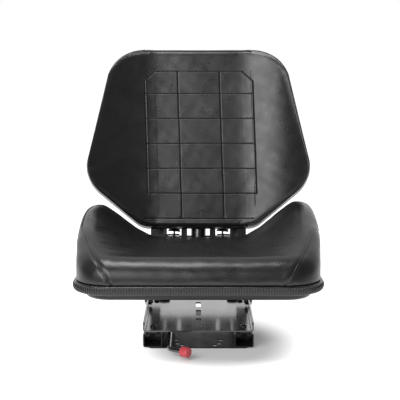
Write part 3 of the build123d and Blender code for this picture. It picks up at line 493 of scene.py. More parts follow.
def carry_over(coarse, moved, fine):
    """Moves of a coarse cover, read at the points of a finer one and smoothed over it."""
    rest, faces, tree = surface_of(coarse)
    carried = np.zeros((len(fine.data.vertices), 3))
    for i, point in enumerate(points_of(fine)):
        place, _, index, _ = tree.find_nearest(Vector(point))
        corners = faces[index]
        weights = poly_3d_calc([Vector(rest[c]) for c in corners], place)
        carried[i] = sum(weight * moved[c] for weight, c in zip(weights, corners))
    return eased(fine, carried, np.ones(len(carried)), CARRY_EASINGS)


# A seam's section, in shares of its depth and half width: the valley, and the soft roll on either side
VALLEY_WIDTH = 0.45
ROLL_HEIGHT = 0.35
ROLL_PLACE = 1.3
ROLL_WIDTH = 0.8


def cut_seam(obj, path, deep, half):
    """Pull the cover in along a seam, with a soft roll on either side."""
    across = near_path(points_of(obj), path) / half
    valley = np.exp(-((across / VALLEY_WIDTH) ** 2))
    roll = ROLL_HEIGHT * np.exp(-(((across - ROLL_PLACE) / ROLL_WIDTH) ** 2))
    lift_points(obj, deep * (roll - valley))


def snapped(obj, path, lift=0.0):
    """A path laid on a surface, and the surface's outward direction along it."""
    tree = surface_of(obj)[2]
    places, outs = [], []
    for point in path:
        place, normal, _, _ = tree.find_nearest(Vector(point))
        places.append(np.array(place) + lift * np.array(normal))
        outs.append(np.array(normal))
    return soften(np.array(places)), soften(np.array(outs))


def soften(values, times=4):
    for _ in range(times):
        values[1:-1] = 0.25 * values[:-2] + 0.5 * values[1:-1] + 0.25 * values[2:]
    return values


# Nodes
def connect(tree, node, wires):
    """Set a node's inputs, or wire them to the outputs of other nodes."""
    for name, given in wires.items():
        for value in given if isinstance(given, list) else [given]:
            if isinstance(value, bpy.types.NodeSocket):
                tree.links.new(value, node.inputs[name])
            else:
                node.inputs[name].default_value = value


def add_node(tree, kind, wires=(), **values):
    node = tree.nodes.new(kind)
    for name, value in values.items():
        setattr(node, name, value)
    connect(tree, node, dict(wires))
    return node


class NodeTree:
    """A Geometry Nodes tree with named inputs, built node by node."""

    def __init__(self, name, inputs):
        self.tree = bpy.data.node_groups.new(name, "GeometryNodeTree")
        face = self.tree.interface
        face.new_socket("Geometry", in_out="INPUT", socket_type="NodeSocketGeometry")
        for label, kind in inputs.items():
            face.new_socket(label, in_out="INPUT", socket_type=f"NodeSocket{kind}")
        face.new_socket("Geometry", in_out="OUTPUT", socket_type="NodeSocketGeometry")
        self.source = self.tree.nodes.new("NodeGroupInput")
        self.result = self.tree.nodes.new("NodeGroupOutput")

    def add(self, kind, wires=(), **values):
        """The first output of a new node."""
        return add_node(self.tree, kind, wires, **values).outputs[0]

    def given(self, name):
        return self.source.outputs[name]

    def close(self, geometry):
        """Realize the instances, give them their material and end the tree."""
        whole = self.add("GeometryNodeRealizeInstances", {"Geometry": geometry})
        dressed = self.add("GeometryNodeSetMaterial", {"Geometry": whole, "Material": self.given("Material")})
        self.tree.links.new(dressed, self.result.inputs[0])
        return self.tree


def grow(name, tree, carrier, **values):
    """Run a tree on a carrier object and return the result as a plain mesh object."""
    modifier = carrier.modifiers.new("nodes", "NODES")
    modifier.node_group = tree
    named = {item.name: item.identifier for item in tree.interface.items_tree if item.in_out == "INPUT"}
    for label, value in values.items():
        modifier[named[label.replace("_", " ").capitalize()]] = value
    bpy.context.view_layer.update()
    graph = bpy.context.evaluated_depsgraph_get()
    mesh = bpy.data.meshes.new_from_object(carrier.evaluated_get(graph))
    mesh.name = name
    carrier.modifiers.remove(modifier)
    remove_object(carrier)
    made = bpy.data.objects.new(name, mesh)
    bpy.context.scene.collection.objects.link(made)
    if not len(mesh.polygons):
        raise RuntimeError(f"{name} came out empty")
    smooth_faces(made)
    return made


def path_object(name, path, outs, closed=False):
    """A line of edges that carries the surface's outward direction as an attribute."""
    number_of_points = len(path)
    edges = [(i, i + 1) for i in range(number_of_points - 1)]
    if closed:
        edges.append((number_of_points - 1, 0))
    made = new_object(name, path, [], edges)
    out = made.data.attributes.new("out", "FLOAT_VECTOR", "POINT")
    out.data.foreach_set("vector", np.asarray(outs, float).ravel())
    return made


def outward_turn(nodes):
    """The turn that lays a shape's X along a path and its Z outwards."""
    tangent = nodes.add("GeometryNodeInputTangent")
    out = nodes.add("GeometryNodeInputNamedAttribute", {"Name": "out"}, data_type="FLOAT_VECTOR")
    axes = {"Primary Axis": out, "Secondary Axis": tangent}
    return nodes.add("FunctionNodeAxesToRotation", axes, primary_axis="Z", secondary_axis="X")


# How finely the cords, beads and coils are drawn
CORD_SIDES = 8
BEAD_SEGMENTS = 8
BEAD_RINGS = 6
COIL_STEPS = 26
LOOP_STEPS = 36
WIRE_SIDES = 10


def cord(nodes, line, sides, radius):
    """A round cord along a line."""
    ring = nodes.add("GeometryNodeCurvePrimitiveCircle", {"Resolution": sides, "Radius": radius})
    return nodes.add("GeometryNodeCurveToMesh", {"Curve": line, "Profile Curve": ring, "Fill Caps": True})


def welt_tree():
    """A round cord along a path."""
    nodes = NodeTree("welt", {"Radius": "Float", "Material": "Material"})
    line = nodes.add("GeometryNodeMeshToCurve", {"Mesh": nodes.given("Geometry")})
    return nodes.close(cord(nodes, line, CORD_SIDES, nodes.given("Radius")))


def bead_tree(name):
    """Rounded beads at an even pitch along a path: stitches along it, or ribs across it."""
    nodes = NodeTree(name, {"Pitch": "Float", "Size": "Vector", "Material": "Material"})
    line = nodes.add("GeometryNodeMeshToCurve", {"Mesh": nodes.given("Geometry")})
    pitched = {"Curve": line, "Length": nodes.given("Pitch")}
    even = nodes.add("GeometryNodeResampleCurve", pitched, mode="LENGTH")
    round_bead = {"Segments": BEAD_SEGMENTS, "Rings": BEAD_RINGS, "Radius": 0.5}
    bead = nodes.add("GeometryNodeMeshUVSphere", round_bead)
    shaped = nodes.add("GeometryNodeTransform", {"Geometry": bead, "Scale": nodes.given("Size")})
    placed = {"Points": even, "Instance": shaped, "Rotation": outward_turn(nodes)}
    return nodes.close(nodes.add("GeometryNodeInstanceOnPoints", placed))


COIL_INPUTS = {
    "Turns": "Float",
    "Radius": "Float",
    "Height": "Float",
    "Wire": "Float",
    "Loops": "Bool",
    "Loop radius": "Float",
    "Low loop": "Vector",
    "High loop": "Vector",
    "Place": "Vector",
    "Lean": "Vector",
    "Material": "Material",
}


def coil_tree():
    """A wire coil that stands on the origin, with a loop at each end, set on the leaning column."""
    nodes = NodeTree("coil", COIL_INPUTS)
    given = nodes.given
    coil = {
        "Resolution": COIL_STEPS,
        "Rotations": given("Turns"),
        "Start Radius": given("Radius"),
        "End Radius": given("Radius"),
        "Height": given("Height"),
    }
    spiral = nodes.add("GeometryNodeCurveSpiral", coil)
    circle = {"Resolution": LOOP_STEPS, "Radius": given("Loop radius")}
    upright = {
        "Geometry": nodes.add("GeometryNodeCurvePrimitiveCircle", circle),
        "Rotation": (0.0, math.pi / 2, 0.0),
    }
    loops = [
        nodes.add("GeometryNodeTransform", {**upright, "Translation": given(place)})
        for place in ("Low loop", "High loop")
    ]
    ends = nodes.add("GeometryNodeJoinGeometry", {"Geometry": loops})
    wanted = nodes.add("GeometryNodeSwitch", {"Switch": given("Loops"), "True": ends}, input_type="GEOMETRY")
    lines = nodes.add("GeometryNodeJoinGeometry", {"Geometry": [spiral, wanted]})
    wire = cord(nodes, lines, WIRE_SIDES, given("Wire"))
    set_up = {"Geometry": wire, "Translation": given("Place"), "Rotation": given("Lean")}
    return nodes.close(nodes.add("GeometryNodeTransform", set_up))


# Finishes
FINISH_PREFIX = "finish_"
# Range of a noise's values in which a finish goes from one end to the other
NOISE_RANGE = (0.3, 0.7)
BEVEL_SAMPLES = 4


class Finish:
    """A Principled material whose patterns read the piece's own coordinates."""

    def __init__(self, base, roughness, metallic=0.0, specular=0.5):
        self.material = bpy.data.materials.new(FINISH_PREFIX)
        self.material.use_nodes = True
        self.tree = self.material.node_tree
        self.set("Base Color", (*base, 1.0))
        self.set("Roughness", roughness)
        self.set("Metallic", metallic)
        self.set("Specular IOR Level", specular)
        self.coordinates = add_node(self.tree, "ShaderNodeTexCoord").outputs["Object"]

    def set(self, name, value):
        """Set an input of the shader, or wire it to a node's output."""
        connect(self.tree, self.tree.nodes["Principled BSDF"], {name: value})

    def add(self, kind, wires, **values):
        """The first output of a new node."""
        return add_node(self.tree, kind, wires, **values).outputs[0]

    def stretched(self, scale):
        return self.add("ShaderNodeMapping", {"Scale": scale, "Vector": self.coordinates})

    def noise(self, scale, detail, rough=0.5, along=None):
        values = {"Scale": scale, "Detail": detail, "Roughness": rough}
        return self.add("ShaderNodeTexNoise", {**values, "Vector": along or self.coordinates})

    def cells(self, scale):
        wires = {"Scale": scale, "Vector": self.coordinates}
        return self.add("ShaderNodeTexVoronoi", wires, feature="SMOOTH_F1")

    def ranged(self, value, low, high, to_low, to_high):
        ends = {"From Min": low, "From Max": high, "To Min": to_low, "To Max": to_high}
        return self.add("ShaderNodeMapRange", {"Value": value, **ends})

    def tinted(self, value, low, high):
        node = add_node(self.tree, "ShaderNodeValToRGB", {"Fac": value})
        for stop, position, tint in zip(node.color_ramp.elements, NOISE_RANGE, (low, high)):
            stop.position = position
            stop.color = (*tint, 1.0)
        self.set("Base Color", node.outputs["Color"])

    def rough_by(self, value, low, high):
        self.set("Roughness", self.ranged(value, *NOISE_RANGE, low, high))

    def rounded(self, radius):
        """Normals that round off sharp edges."""
        return self.add("ShaderNodeBevel", {"Radius": radius}, samples=BEVEL_SAMPLES)

    def bump(self, layers, below=None):
        """Stack bump layers, each a height, a strength and a distance."""
        for height, strength, distance in layers:
            wires = {"Strength": strength, "Distance": distance, "Height": height}
            if below:
                wires["Normal"] = below
            below = self.add("ShaderNodeBump", wires)
        self.set("Normal", below)


def shade(base, factor):
    return tuple(min(1.0, value * factor) for value in base)


def vinyl_finish(base):
    """Grained vinyl, with painted shade in its creases: less reflection there."""
    made = Finish(base, 0.30)
    made.tinted(made.noise(16.0, 3.0), shade(base, 0.85), shade(base, 1.2))
    made.rough_by(made.noise(38.0, 4.0), 0.26, 0.36)
    crease = add_node(made.tree, "ShaderNodeAttribute", attribute_name="crease").outputs["Fac"]
    # Painted shade: the reflection fades out in the creases and seam valleys, so they render dark
    made.set("Specular IOR Level", made.ranged(crease, 0.15, 0.8, 0.5, 0.04))
    grain = made.cells(560.0)
    pores = made.noise(1500.0, 2.0)
    streaks = made.noise(1.0, 3.0, 0.6, made.stretched((190.0, 190.0, 22.0)))
    made.bump([(streaks, 0.05, 0.0010), (grain, 0.13, 0.0007), (pores, 0.06, 0.0002)])
    return made.material


def plain_finish(base, surface, clouds, tints, grain, bump, rough=None, edge=None, coat=None):
    """A clouded colour, a roughness that follows the clouds, and a fine grain. Surface gives the
    roughness, then metallic and specular where they aren't the usual ones."""
    made = Finish(base, *surface)
    cloud = made.noise(*clouds)
    made.tinted(cloud, *(shade(base, factor) for factor in tints))
    if rough:
        made.rough_by(cloud, *rough)
    made.bump([(made.noise(*grain), *bump)], made.rounded(edge) if edge else None)
    if coat:
        made.set("Coat Weight", coat[0])
        made.set("Coat Roughness", coat[1])
    return made.material


GLOSS_ENAMEL = dict(
    clouds=(26.0, 5.0, 0.65), tints=(1.0, 1.6), grain=(170.0, 2.0), bump=(0.03, 0.0004), edge=0.0011
)
# Every finish but the vinyl: its colour's setting, and how plain_finish makes it
PLAIN_FINISHES = {
    "black_enamel": (
        "enamel",
        dict(GLOSS_ENAMEL, surface=(0.12, 0.0, 0.8), rough=(0.07, 0.15), coat=(0.8, 0.05)),
    ),
    "tray_enamel": (
        "enamel",
        dict(GLOSS_ENAMEL, surface=(0.21, 0.0, 0.8), rough=(0.17, 0.25), coat=(0.8, 0.11)),
    ),
    "satin_enamel": (
        "enamel",
        dict(
            surface=(0.34, 0.0, 0.35), clouds=(30.0, 5.0, 0.65), tints=(1.0, 1.8), rough=(0.26, 0.42),
            grain=(240.0, 2.0), bump=(0.05, 0.0004), edge=0.0009,
        ),
    ),
    "zinc_plate": (
        "zinc",
        dict(
            surface=(0.32, 1.0), clouds=(60.0, 4.0), tints=(0.82, 1.12), rough=(0.24, 0.42),
            grain=(800.0, 2.0), bump=(0.06, 0.0002),
        ),
    ),
    "spring_steel": (
        "spring",
        dict(
            surface=(0.34, 0.6), clouds=(70.0, 4.0), tints=(0.7, 1.4), rough=(0.26, 0.46),
            grain=(900.0, 2.0), bump=(0.08, 0.0002),
        ),
    ),
    "black_edging": (
        "edging",
        dict(
            surface=(0.25,), clouds=(40.0, 3.0), tints=(0.8, 1.3), rough=(0.17, 0.30),
            grain=(700.0, 3.0), bump=(0.10, 0.0003),
        ),
    ),
    "black_nylon": (
        "nylon",
        dict(
            surface=(0.5,), clouds=(50.0, 3.0), tints=(0.8, 1.2), grain=(1100.0, 2.0), bump=(0.15, 0.0002)
        ),
    ),
    "black_rubber": (
        "rubber",
        dict(surface=(0.7,), clouds=(60.0, 3.0), tints=(0.8, 1.3), grain=(1300.0, 3.0), bump=(0.2, 0.0003)),
    ),
    "red_grip": (
        "grip",
        dict(
            surface=(0.38,), clouds=(90.0, 3.0), tints=(0.92, 1.05), rough=(0.32, 0.46),
            grain=(900.0, 2.0), bump=(0.08, 0.0002),
        ),
    ),
    "seam_thread": (
        "thread",
        dict(surface=(0.6,), clouds=(900.0, 1.0), tints=(0.7, 1.5), grain=(900.0, 1.0), bump=(0.3, 0.0002)),
    ),
}


def finish(name):
    """The named finish, made the first time it is asked for."""
    made = bpy.data.materials.get(FINISH_PREFIX + name)
    if made is None:
        colours = settings().finish
        if name == "black_vinyl":
            made = vinyl_finish(tuple(colours.vinyl))
        else:
            chosen, recipe = PLAIN_FINISHES[name]
            made = plain_finish(tuple(getattr(colours, chosen)), **recipe)
        made.name = FINISH_PREFIX + name
    return made


def dress(obj, name, body, *replaced, slot=None):
    """Give a piece its finish and its body, and hide the pieces that it replaces."""
    if not obj.data.materials:
        obj.data.materials.append(finish(name))
    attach(obj, body)
    if replaced:
        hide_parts(*replaced)
    return obj


# Seat cushion: height of its middle and rise of its bolsters along the seat, and the bolsters' section
CUSHION_MIDDLE = (
    (-0.277, 0.2000), (-0.252, 0.2002), (-0.235, 0.2005), (-0.205, 0.2005),
    (-0.115, 0.1960), (-0.015, 0.1885), (0.060, 0.1810), (0.119, 0.1720),
)
CUSHION_RISE = (
    (-0.277, 0.0), (-0.246, 0.002), (-0.205, 0.014), (-0.115, 0.045),
    (-0.015, 0.072), (0.060, 0.076), (0.119, 0.069),
)
BOLSTER_SECTION = (
    (0.0, 0.0), (0.085, 0.0), (0.126, 0.23), (0.150, 0.46), (0.177, 0.75), (0.207, 1.0), (0.240, 0.985),
)
# Seam between the top panel and the right side panel, from the front trim to the rear trim
SIDE_SEAM = (
    (0.163, -0.281, 0.150), (0.178, -0.268, 0.177), (0.195, -0.238, 0.194), (0.215, -0.175, 0.210),
    (0.226, -0.100, 0.226), (0.2275, -0.025, 0.245), (0.222, 0.045, 0.255), (0.200, 0.100, 0.238),
    (0.178, 0.119, 0.195), (0.172, 0.121, 0.150),
)
COVER_SWELL = 0.0016
WALL_STEPS = 8
# Distances behind the pan's front over which the edge's inset and drop go from the front's to the side's
INSET_FADE = (0.01, 0.11)
DROP_FADE = (0.02, 0.09)
# Heights over the trim between which the bolsters lean out
FLARE_LEVELS = (0.022, 0.085)
# How far inside the edge the cushion lies on the trim, and then sinks into the pan
LEDGE = (-0.010, -0.030)
SUNK = (-0.031, -0.060)
# The front is smoothed: how often, how far behind the trim's front it fades out, and how far over the trim
FRONT_EASINGS = 40
FRONT_FADE = (0.08, 0.13)
OVER_TRIM = (0.003, 0.014)
# Unevenness of the cover, from a little over the trim: each layer's height, wave size and seed
CUSHION_WAVES = ((0.0006, 0.085, 3), (0.0003, 0.030, 4))
WAVES_OVER_TRIM = 0.006
SEAM_SPACING = 0.003
# Width of the painted shade beside each seam, as a share of the valley's half width
CREASE_SHADE_SHARE = 0.4


def cushion_height(x, y):
    section = smooth_curve(BOLSTER_SECTION, np.abs(x)) * (1 + settings().cushion.lopsided * np.sign(x))
    return smooth_curve(CUSHION_MIDDLE, y) + smooth_curve(CUSHION_RISE, y) * section - COVER_SWELL


def pan_outline(sizes, step):
    """The right side of the pan's outline in plan, and its outward directions."""
    corners = ((sizes.front_half, PAN_FRONT), (sizes.rear_half, PAN_REAR))
    return rounded_side(corners, (sizes.front_round, sizes.rear_round), step)


def cushion_pad(sizes, step):
    side, outward = pan_outline(sizes, step)
    at_side = smooth_step(*INSET_FADE, side[:, 1] - PAN_FRONT)
    inset = sizes.front_inset + (sizes.side_inset - sizes.front_inset) * at_side
    side = side - outward * (inset + sizes.edge_gap)[:, None]
    shares = np.linspace(-1, 1, 2 * int(sizes.front_half / step) + 1)
    base = TRIM_HIGH.z + TRIM_GAP
    underside = [(offset, base) for offset in LEDGE] + [(offset, CUSHION_BOTTOM) for offset in SUNK]

    def drop(x, y):
        at_front = 1 - smooth_step(*DROP_FADE, y - PAN_FRONT)
        return sizes.side_drop + (sizes.front_drop - sizes.side_drop) * at_front

    def flare(level):
        return sizes.flare * smooth_step(*FLARE_LEVELS, level - base)

    edge = Edge(inset, drop, sizes.bulge, flare)
    return Pad(side, outward, lambda half: half * shares, cushion_height, edge, base, underside, WALL_STEPS)


def cushion_object(sizes, step, name):
    pad = cushion_pad(sizes, step)
    return pad, new_object(name, pad.plan, pad.faces)


def swollen(fine, coarse_pad, coarse, cap):
    """Move a fine cover as its coarse copy swells in the cloth simulation."""
    underside = coarse_pad.rings[Pad.ROLL_STEPS + WALL_STEPS :]
    held = np.concatenate([*underside, [len(coarse_pad.plan) - 1]])
    moved = swell(coarse, held, cap)
    set_points(fine, points_of(fine) + carry_over(coarse, moved, fine))
    remove_object(coarse)


def waved(points, layers):
    """Unevenness in layers, each with its height, wave size and seed."""
    return sum(height * uneven(points, size, seed) for height, size, seed in layers)


class TRACTORSEAT_OT_seat_cushion(bpy.types.Operator):
    """Build the seat cushion with its side panels and seams"""

    bl_idname = "tractorseat.seat_cushion"
    bl_label = "Seat cushion"

    def execute(self, context):
        sizes, seams = settings().cushion, settings().seams
        coarse_pad, coarse = cushion_object(sizes, sizes.cloth_step, "cushion_cloth")
        _, cushion = cushion_object(sizes, sizes.mesh_step, "cushion_cover")
        swollen(cushion, coarse_pad, coarse, sizes.cloth_cap)
        points = points_of(cushion)
        in_front = 1 - smooth_step(*FRONT_FADE, points[:, 1] - TRIM_LOW.y)
        over_trim = smooth_step(*OVER_TRIM, points[:, 2] - TRIM_HIGH.z)
        set_points(cushion, eased(cushion, points, in_front * over_trim, FRONT_EASINGS))
        points = points_of(cushion)
        above = points[:, 2] > TRIM_HIGH.z + WAVES_OVER_TRIM
        lift_points(cushion, waved(points, CUSHION_WAVES) * above)
        paths = {}
        for name, side in SIDES.items():
            rough = path_through([(side * x, y, z) for x, y, z in SIDE_SEAM], SEAM_SPACING)
            paths[name] = snapped(cushion, rough)[0]
            cut_seam(cushion, paths[name], seams.valley_depth, seams.valley_half)
        # Painted shade along the seams: the finish dims the cover's reflection near them
        gap = np.minimum(*(near_path(points_of(cushion), path) for path in paths.values()))
        paint_crease_shade(cushion, 1 - gap / (CREASE_SHADE_SHARE * seams.valley_half))
        smooth_faces(cushion)
        dress(cushion, "black_vinyl", "seat", "seat_cushion")
        for name, side in SIDES.items():
            sew_seam(f"cushion_{name}", cushion, paths[name], np.array([-side, 0.0, 0.0]))
        return {"FINISHED"}


# Shares of their radius by which a welt and a stitch stand over the cover, and of its pitch that a
# stitch takes
WELT_LIFT = 0.35
STITCH_LIFT = 0.2
STITCH_SHARE = 0.62


def sew_seam(name, cover, path, inwards):
    """A welt in a seam, and a row of stitches beside it on the panel that lies inwards."""
    seams = settings().seams
    carrier = path_object(f"{name}_welt_path", *snapped(cover, path, WELT_LIFT * seams.welt_radius))
    vinyl = finish("black_vinyl")
    welt = grow(f"{name}_welt", welt_tree(), carrier, radius=seams.welt_radius, material=vinyl)
    dress(welt, "black_vinyl", "seat")
    beside = path + inwards * seams.stitch_inset
    carrier = path_object(f"{name}_stitch_path", *snapped(cover, beside, STITCH_LIFT * seams.stitch_radius))
    thick = 2 * seams.stitch_radius
    stitches = grow(
        f"{name}_stitches", bead_tree("stitches"), carrier, pitch=seams.stitch_pitch,
        size=(STITCH_SHARE * seams.stitch_pitch, thick, thick), material=finish("seam_thread"),
    )
    dress(stitches, "seam_thread", "seat", slot="black_vinyl")


# Backrest: the foot of the column's front plane, and a pressed line's section in shares of its depth and
# half width
COLUMN_FOOT_Y = 0.136
GROOVE_POWER = 1.3
LIP_HEIGHT = 0.16
LIP_PLACE = 1.6
LIP_WIDTH = 0.5


def on_column(x, setback, along):
    """Points given across, behind the column's front plane and up the column."""
    y = COLUMN_FOOT_Y + setback * LEAN_COS + along * LEAN_SIN
    z = TRAY_FLOOR - setback * LEAN_SIN + along * LEAN_COS
    return np.column_stack([x, y, z])


def bent(sizes, plan):
    """Lay a pad drawn flat on the backrest's bent shell and lean it with the column."""
    x, along, forward = plan.T
    beside = np.maximum(np.abs(x) - sizes.flat_half, 0)
    reach = np.sqrt(np.maximum((sizes.bend - forward) ** 2 - beside**2, 0))
    return on_column(x, reach - sizes.bend, along)


def grid_lines(sizes):
    """Places of the pressed grid's upright and level lines."""
    uprights = (-sizes.grid_half, -sizes.grid_middle, sizes.grid_middle, sizes.grid_half)
    levels = sizes.grid_bottom + sizes.grid_pitch * np.arange(sizes.grid_rows + 1)
    levels[-1] = levels[-2] + sizes.grid_top_row
    return uprights, levels


def groove(sizes, gap):
    """Height of the face at a distance from a pressed line."""
    across = np.abs(gap) / sizes.groove_half
    valley = -sizes.groove_depth * np.clip(1 - across, 0, 1) ** GROOVE_POWER
    lip = LIP_HEIGHT * sizes.groove_depth * np.exp(-(((across - LIP_PLACE) / LIP_WIDTH) ** 2))
    return valley + lip


def grid_height(sizes, x, along):
    """The pressed lines: uprights, levels and the cut-off top corners."""
    uprights, levels = grid_lines(sizes)
    top, half, corner = levels[-1], sizes.grid_half, sizes.grid_corner
    edge = sizes.groove_half
    height = np.zeros(len(x))
    for place in uprights:
        outer = abs(place) == half
        start, end = (levels[1], top - corner) if outer else (levels[0], top)
        inside = (along > start - edge) & (along < end + edge)
        height = np.where(inside, np.minimum(height, groove(sizes, x - place)), height)
    for level in levels:
        reach = half - corner if level == top else half
        inside = np.abs(x) < reach + edge
        height = np.where(inside, np.minimum(height, groove(sizes, along - level)), height)
    slant = (np.abs(x) - half + along - top + corner) / math.sqrt(2)
    inside = (np.abs(x) > half - corner) & (np.abs(x) < half) & (along > top - corner) & (along < top)
    return np.where(inside, np.minimum(height, groove(sizes, slant)), height)


# Places of the mesh across a pressed line, in shares of its half width, and the least space beside them
GROOVE_OFFSETS = (-1.6, -1.0, -0.45, 0.0, 0.45, 1.0, 1.6)
GROOVE_SPARE = 0.0005
# Width of even mesh beside the grid, spacing at its cut-off corners, and the least height of a row
GRID_MARGIN = 0.006
CORNER_STEP = 0.0016
ROW_LEAST = 2e-5
# Share of the width that the grid's columns may take where the backrest is narrow
MIDDLE_SHARE = 0.9
# The pad's underside: it steps in behind the trim, goes back to the shell, and on to its middle
BACK_STEP = -0.0125
BACK_MIDDLE = -0.0425
SHELL_FACE = 0.003


def with_lines(values, lines, half):
    """Even places, with a few close ones at each line and none that crowd them."""
    extra = np.array([line + half * offset for line in lines for offset in GROOVE_OFFSETS])
    clear = GROOVE_OFFSETS[-1] * half + GROOVE_SPARE
    kept = [value for value in values if np.abs(np.array(lines) - value).min() > clear]
    return np.sort(np.concatenate([kept, extra]))


def backrest_pad(sizes, step, lined):
    corners = (
        (sizes.bottom_half, sizes.bottom), (sizes.wide_half, sizes.wide_at), (sizes.top_half, sizes.top),
    )
    radii = (sizes.bottom_round, sizes.wide_round, sizes.top_round)
    side, outward = rounded_side(corners, radii, step)
    side = side - outward * (sizes.inset + sizes.edge_gap)
    uprights, levels = grid_lines(sizes)
    inner = sizes.grid_half + GRID_MARGIN
    even = np.linspace(-inner, inner, 2 * int(inner / step) + 1)
    if lined:
        fine = np.arange(sizes.grid_half - sizes.grid_corner, sizes.grid_half, CORNER_STEP)
        even = np.unique(np.round(np.concatenate([even, fine, -fine]), 5))
        even = with_lines(even, uprights, sizes.groove_half)
        fine = np.arange(levels[-1] - sizes.grid_corner, levels[-1], CORNER_STEP)
        rows = with_lines(np.concatenate([side[:, 1], fine]), levels, sizes.groove_half)
        rows = rows[np.concatenate([[True], np.diff(rows) > ROW_LEAST])]
        old = side
        side = np.column_stack([np.interp(rows, old[:, 1], old[:, 0]), rows])
        outward = np.column_stack([np.interp(rows, old[:, 1], outward[:, i]) for i in (0, 1)])
        outward /= np.linalg.norm(outward, axis=1, keepdims=True)
    limit = abs(even[0])
    outer = np.linspace(0, 1, int((sizes.wide_half - limit) / step) + 1)[1:]

    def columns(half):
        middle = even * min(1.0, MIDDLE_SHARE * half / limit)
        right = middle[-1] + (half - middle[-1]) * outer
        return np.concatenate([-right[::-1], middle, right])

    def height(x, along):
        face = np.full(len(x), sizes.thick - COVER_SWELL)
        return face + grid_height(sizes, x, along) if lined else face

    def drop(x, along):
        return np.full(len(x), sizes.drop)

    back = sizes.trim_depth
    underside = ((BACK_STEP, back), (BACK_STEP, SHELL_FACE), (BACK_MIDDLE, SHELL_FACE))
    edge = Edge(sizes.inset, drop, sizes.bulge, np.zeros_like)
    return Pad(side, outward, columns, height, edge, back + TRIM_GAP, underside, WALL_STEPS)


# The grid's skew fades out over this width at the sides, and its lines wander sideways and up and down:
# height, wave size and seed
SKEW_FADE = 0.045
WANDER_ACROSS = (0.0009, 0.13, 11)
WANDER_ALONG = (0.0007, 0.12, 12)


def skewed(sizes, pad):
    """Let the cover's lines run to one side towards the foot, and wander a little, but not at the sides."""
    plan = pad.plan
    low, high = sizes.grid_bottom, sizes.grid_bottom + sizes.grid_pitch * sizes.grid_rows
    share = np.clip((high - plan[:, 1]) / (high - low), 0, 1)
    edge = plan[pad.net[:, -1]]
    from_edge = np.interp(plan[:, 1], edge[:, 1], edge[:, 0]) - np.abs(plan[:, 0])
    inside = smooth_step(0.0, SKEW_FADE, from_edge)
    flat = plan * np.array([1, 1, 0])
    moved = plan.copy()
    moved[:, 0] += inside * (sizes.grid_skew * share + waved(flat, [WANDER_ACROSS]))
    moved[:, 1] += inside * waved(flat, [WANDER_ALONG])
    return moved


def backrest_object(sizes, step, lined, name):
    pad = backrest_pad(sizes, step, lined)
    plan = skewed(sizes, pad) if lined else pad.plan
    made = new_object(name, bent(sizes, plan), [face[::-1] for face in pad.faces])
    return pad, made


def paint_crease_shade(cover, shares):
    """Keep how deep in the creases each point lies, for the finish to paint shade there."""
    crease = cover.data.attributes.new("crease", "FLOAT", "POINT")
    crease.data.foreach_set("value", np.clip(shares, 0, 1))


# The rolled edge is smoothed: how often, and the distances from the rim over which that fades out
RIM_EASINGS = 8
RIM_FADE = (0.010, 0.034)
# Unevenness of the cover: each layer's height, wave size and seed
BACKREST_WAVES = ((0.0005, 0.090, 7), (0.00025, 0.028, 8))
# The side seams: the ring that they follow, every which point of it, their size as a share of the cushion's,
# and how far down their stitches lie for each step inwards
SEAM_RING = 5
SEAM_POINTS = 4
SEAM_SHARE = 0.8
STITCH_FALL = -0.4


def rim_shares(sizes, pad):
    """1 on the backrest's rolled edge, fading out over its face and its wall and towards the grid's foot."""
    shares = np.zeros(len(pad.plan))
    face = pad.net.ravel()
    flat = pad.plan * np.array([1, 1, 0])
    shares[face] = 1 - smooth_step(*RIM_FADE, near_path(flat[face], flat[pad.border]))
    for ring in pad.rings[1 : Pad.ROLL_STEPS + WALL_STEPS // 2]:
        shares[ring] = 1.0
    return shares * smooth_step(sizes.grid_bottom, sizes.grid_bottom + sizes.grid_pitch, pad.plan[:, 1])


class TRACTORSEAT_OT_backrest_pad(bpy.types.Operator):
    """Build the backrest's pad with its pressed grid and side seams"""

    bl_idname = "tractorseat.backrest_pad"
    bl_label = "Backrest pad"

    def execute(self, context):
        sizes, seams = settings().backrest, settings().seams
        coarse_pad, coarse = backrest_object(sizes, sizes.cloth_step, False, "backrest_cloth")
        pad, cover = backrest_object(sizes, sizes.mesh_step, True, "backrest_cover")
        swollen(cover, coarse_pad, coarse, sizes.cloth_cap)
        set_points(cover, eased(cover, points_of(cover), rim_shares(sizes, pad), RIM_EASINGS))
        points = points_of(cover)
        face = np.zeros(len(points))
        face[np.concatenate([pad.net.ravel(), *pad.rings[1 : Pad.ROLL_STEPS]])] = 1.0
        lift_points(cover, face * waved(points, BACKREST_WAVES))
        points = points_of(cover)
        ring = pad.rings[SEAM_RING]
        flat, rise = pad.across, pad.rows
        right = ring[flat - 1 : flat + rise - 1]
        left = np.append(ring[2 * flat + rise - 3 :], ring[0])
        paths = {}
        for name, run in (("right", right), ("left", left)):
            paths[name] = path_through(points[run][::SEAM_POINTS], SEAM_SPACING)
            cut_seam(cover, paths[name], SEAM_SHARE * seams.valley_depth, SEAM_SHARE * seams.valley_half)
        # Painted shade in the pressed lines: the finish dims the reflection by their depth
        depth = np.zeros(len(points))
        face = pad.plan[pad.net.ravel()]
        depth[pad.net.ravel()] = -grid_height(sizes, face[:, 0], face[:, 1]) / sizes.groove_depth
        paint_crease_shade(cover, depth)
        smooth_faces(cover)
        dress(cover, "black_vinyl", "seat", "backrest_pad")
        for name, side in SIDES.items():
            sew_seam(f"backrest_{name}", cover, paths[name], np.array([-side, STITCH_FALL, 0.0]))
        return {"FINISHED"}


RIB_PATH_STEP = 0.004


def both_sides(side):
    return np.vstack([side, side[::-1] * MIRRORED])


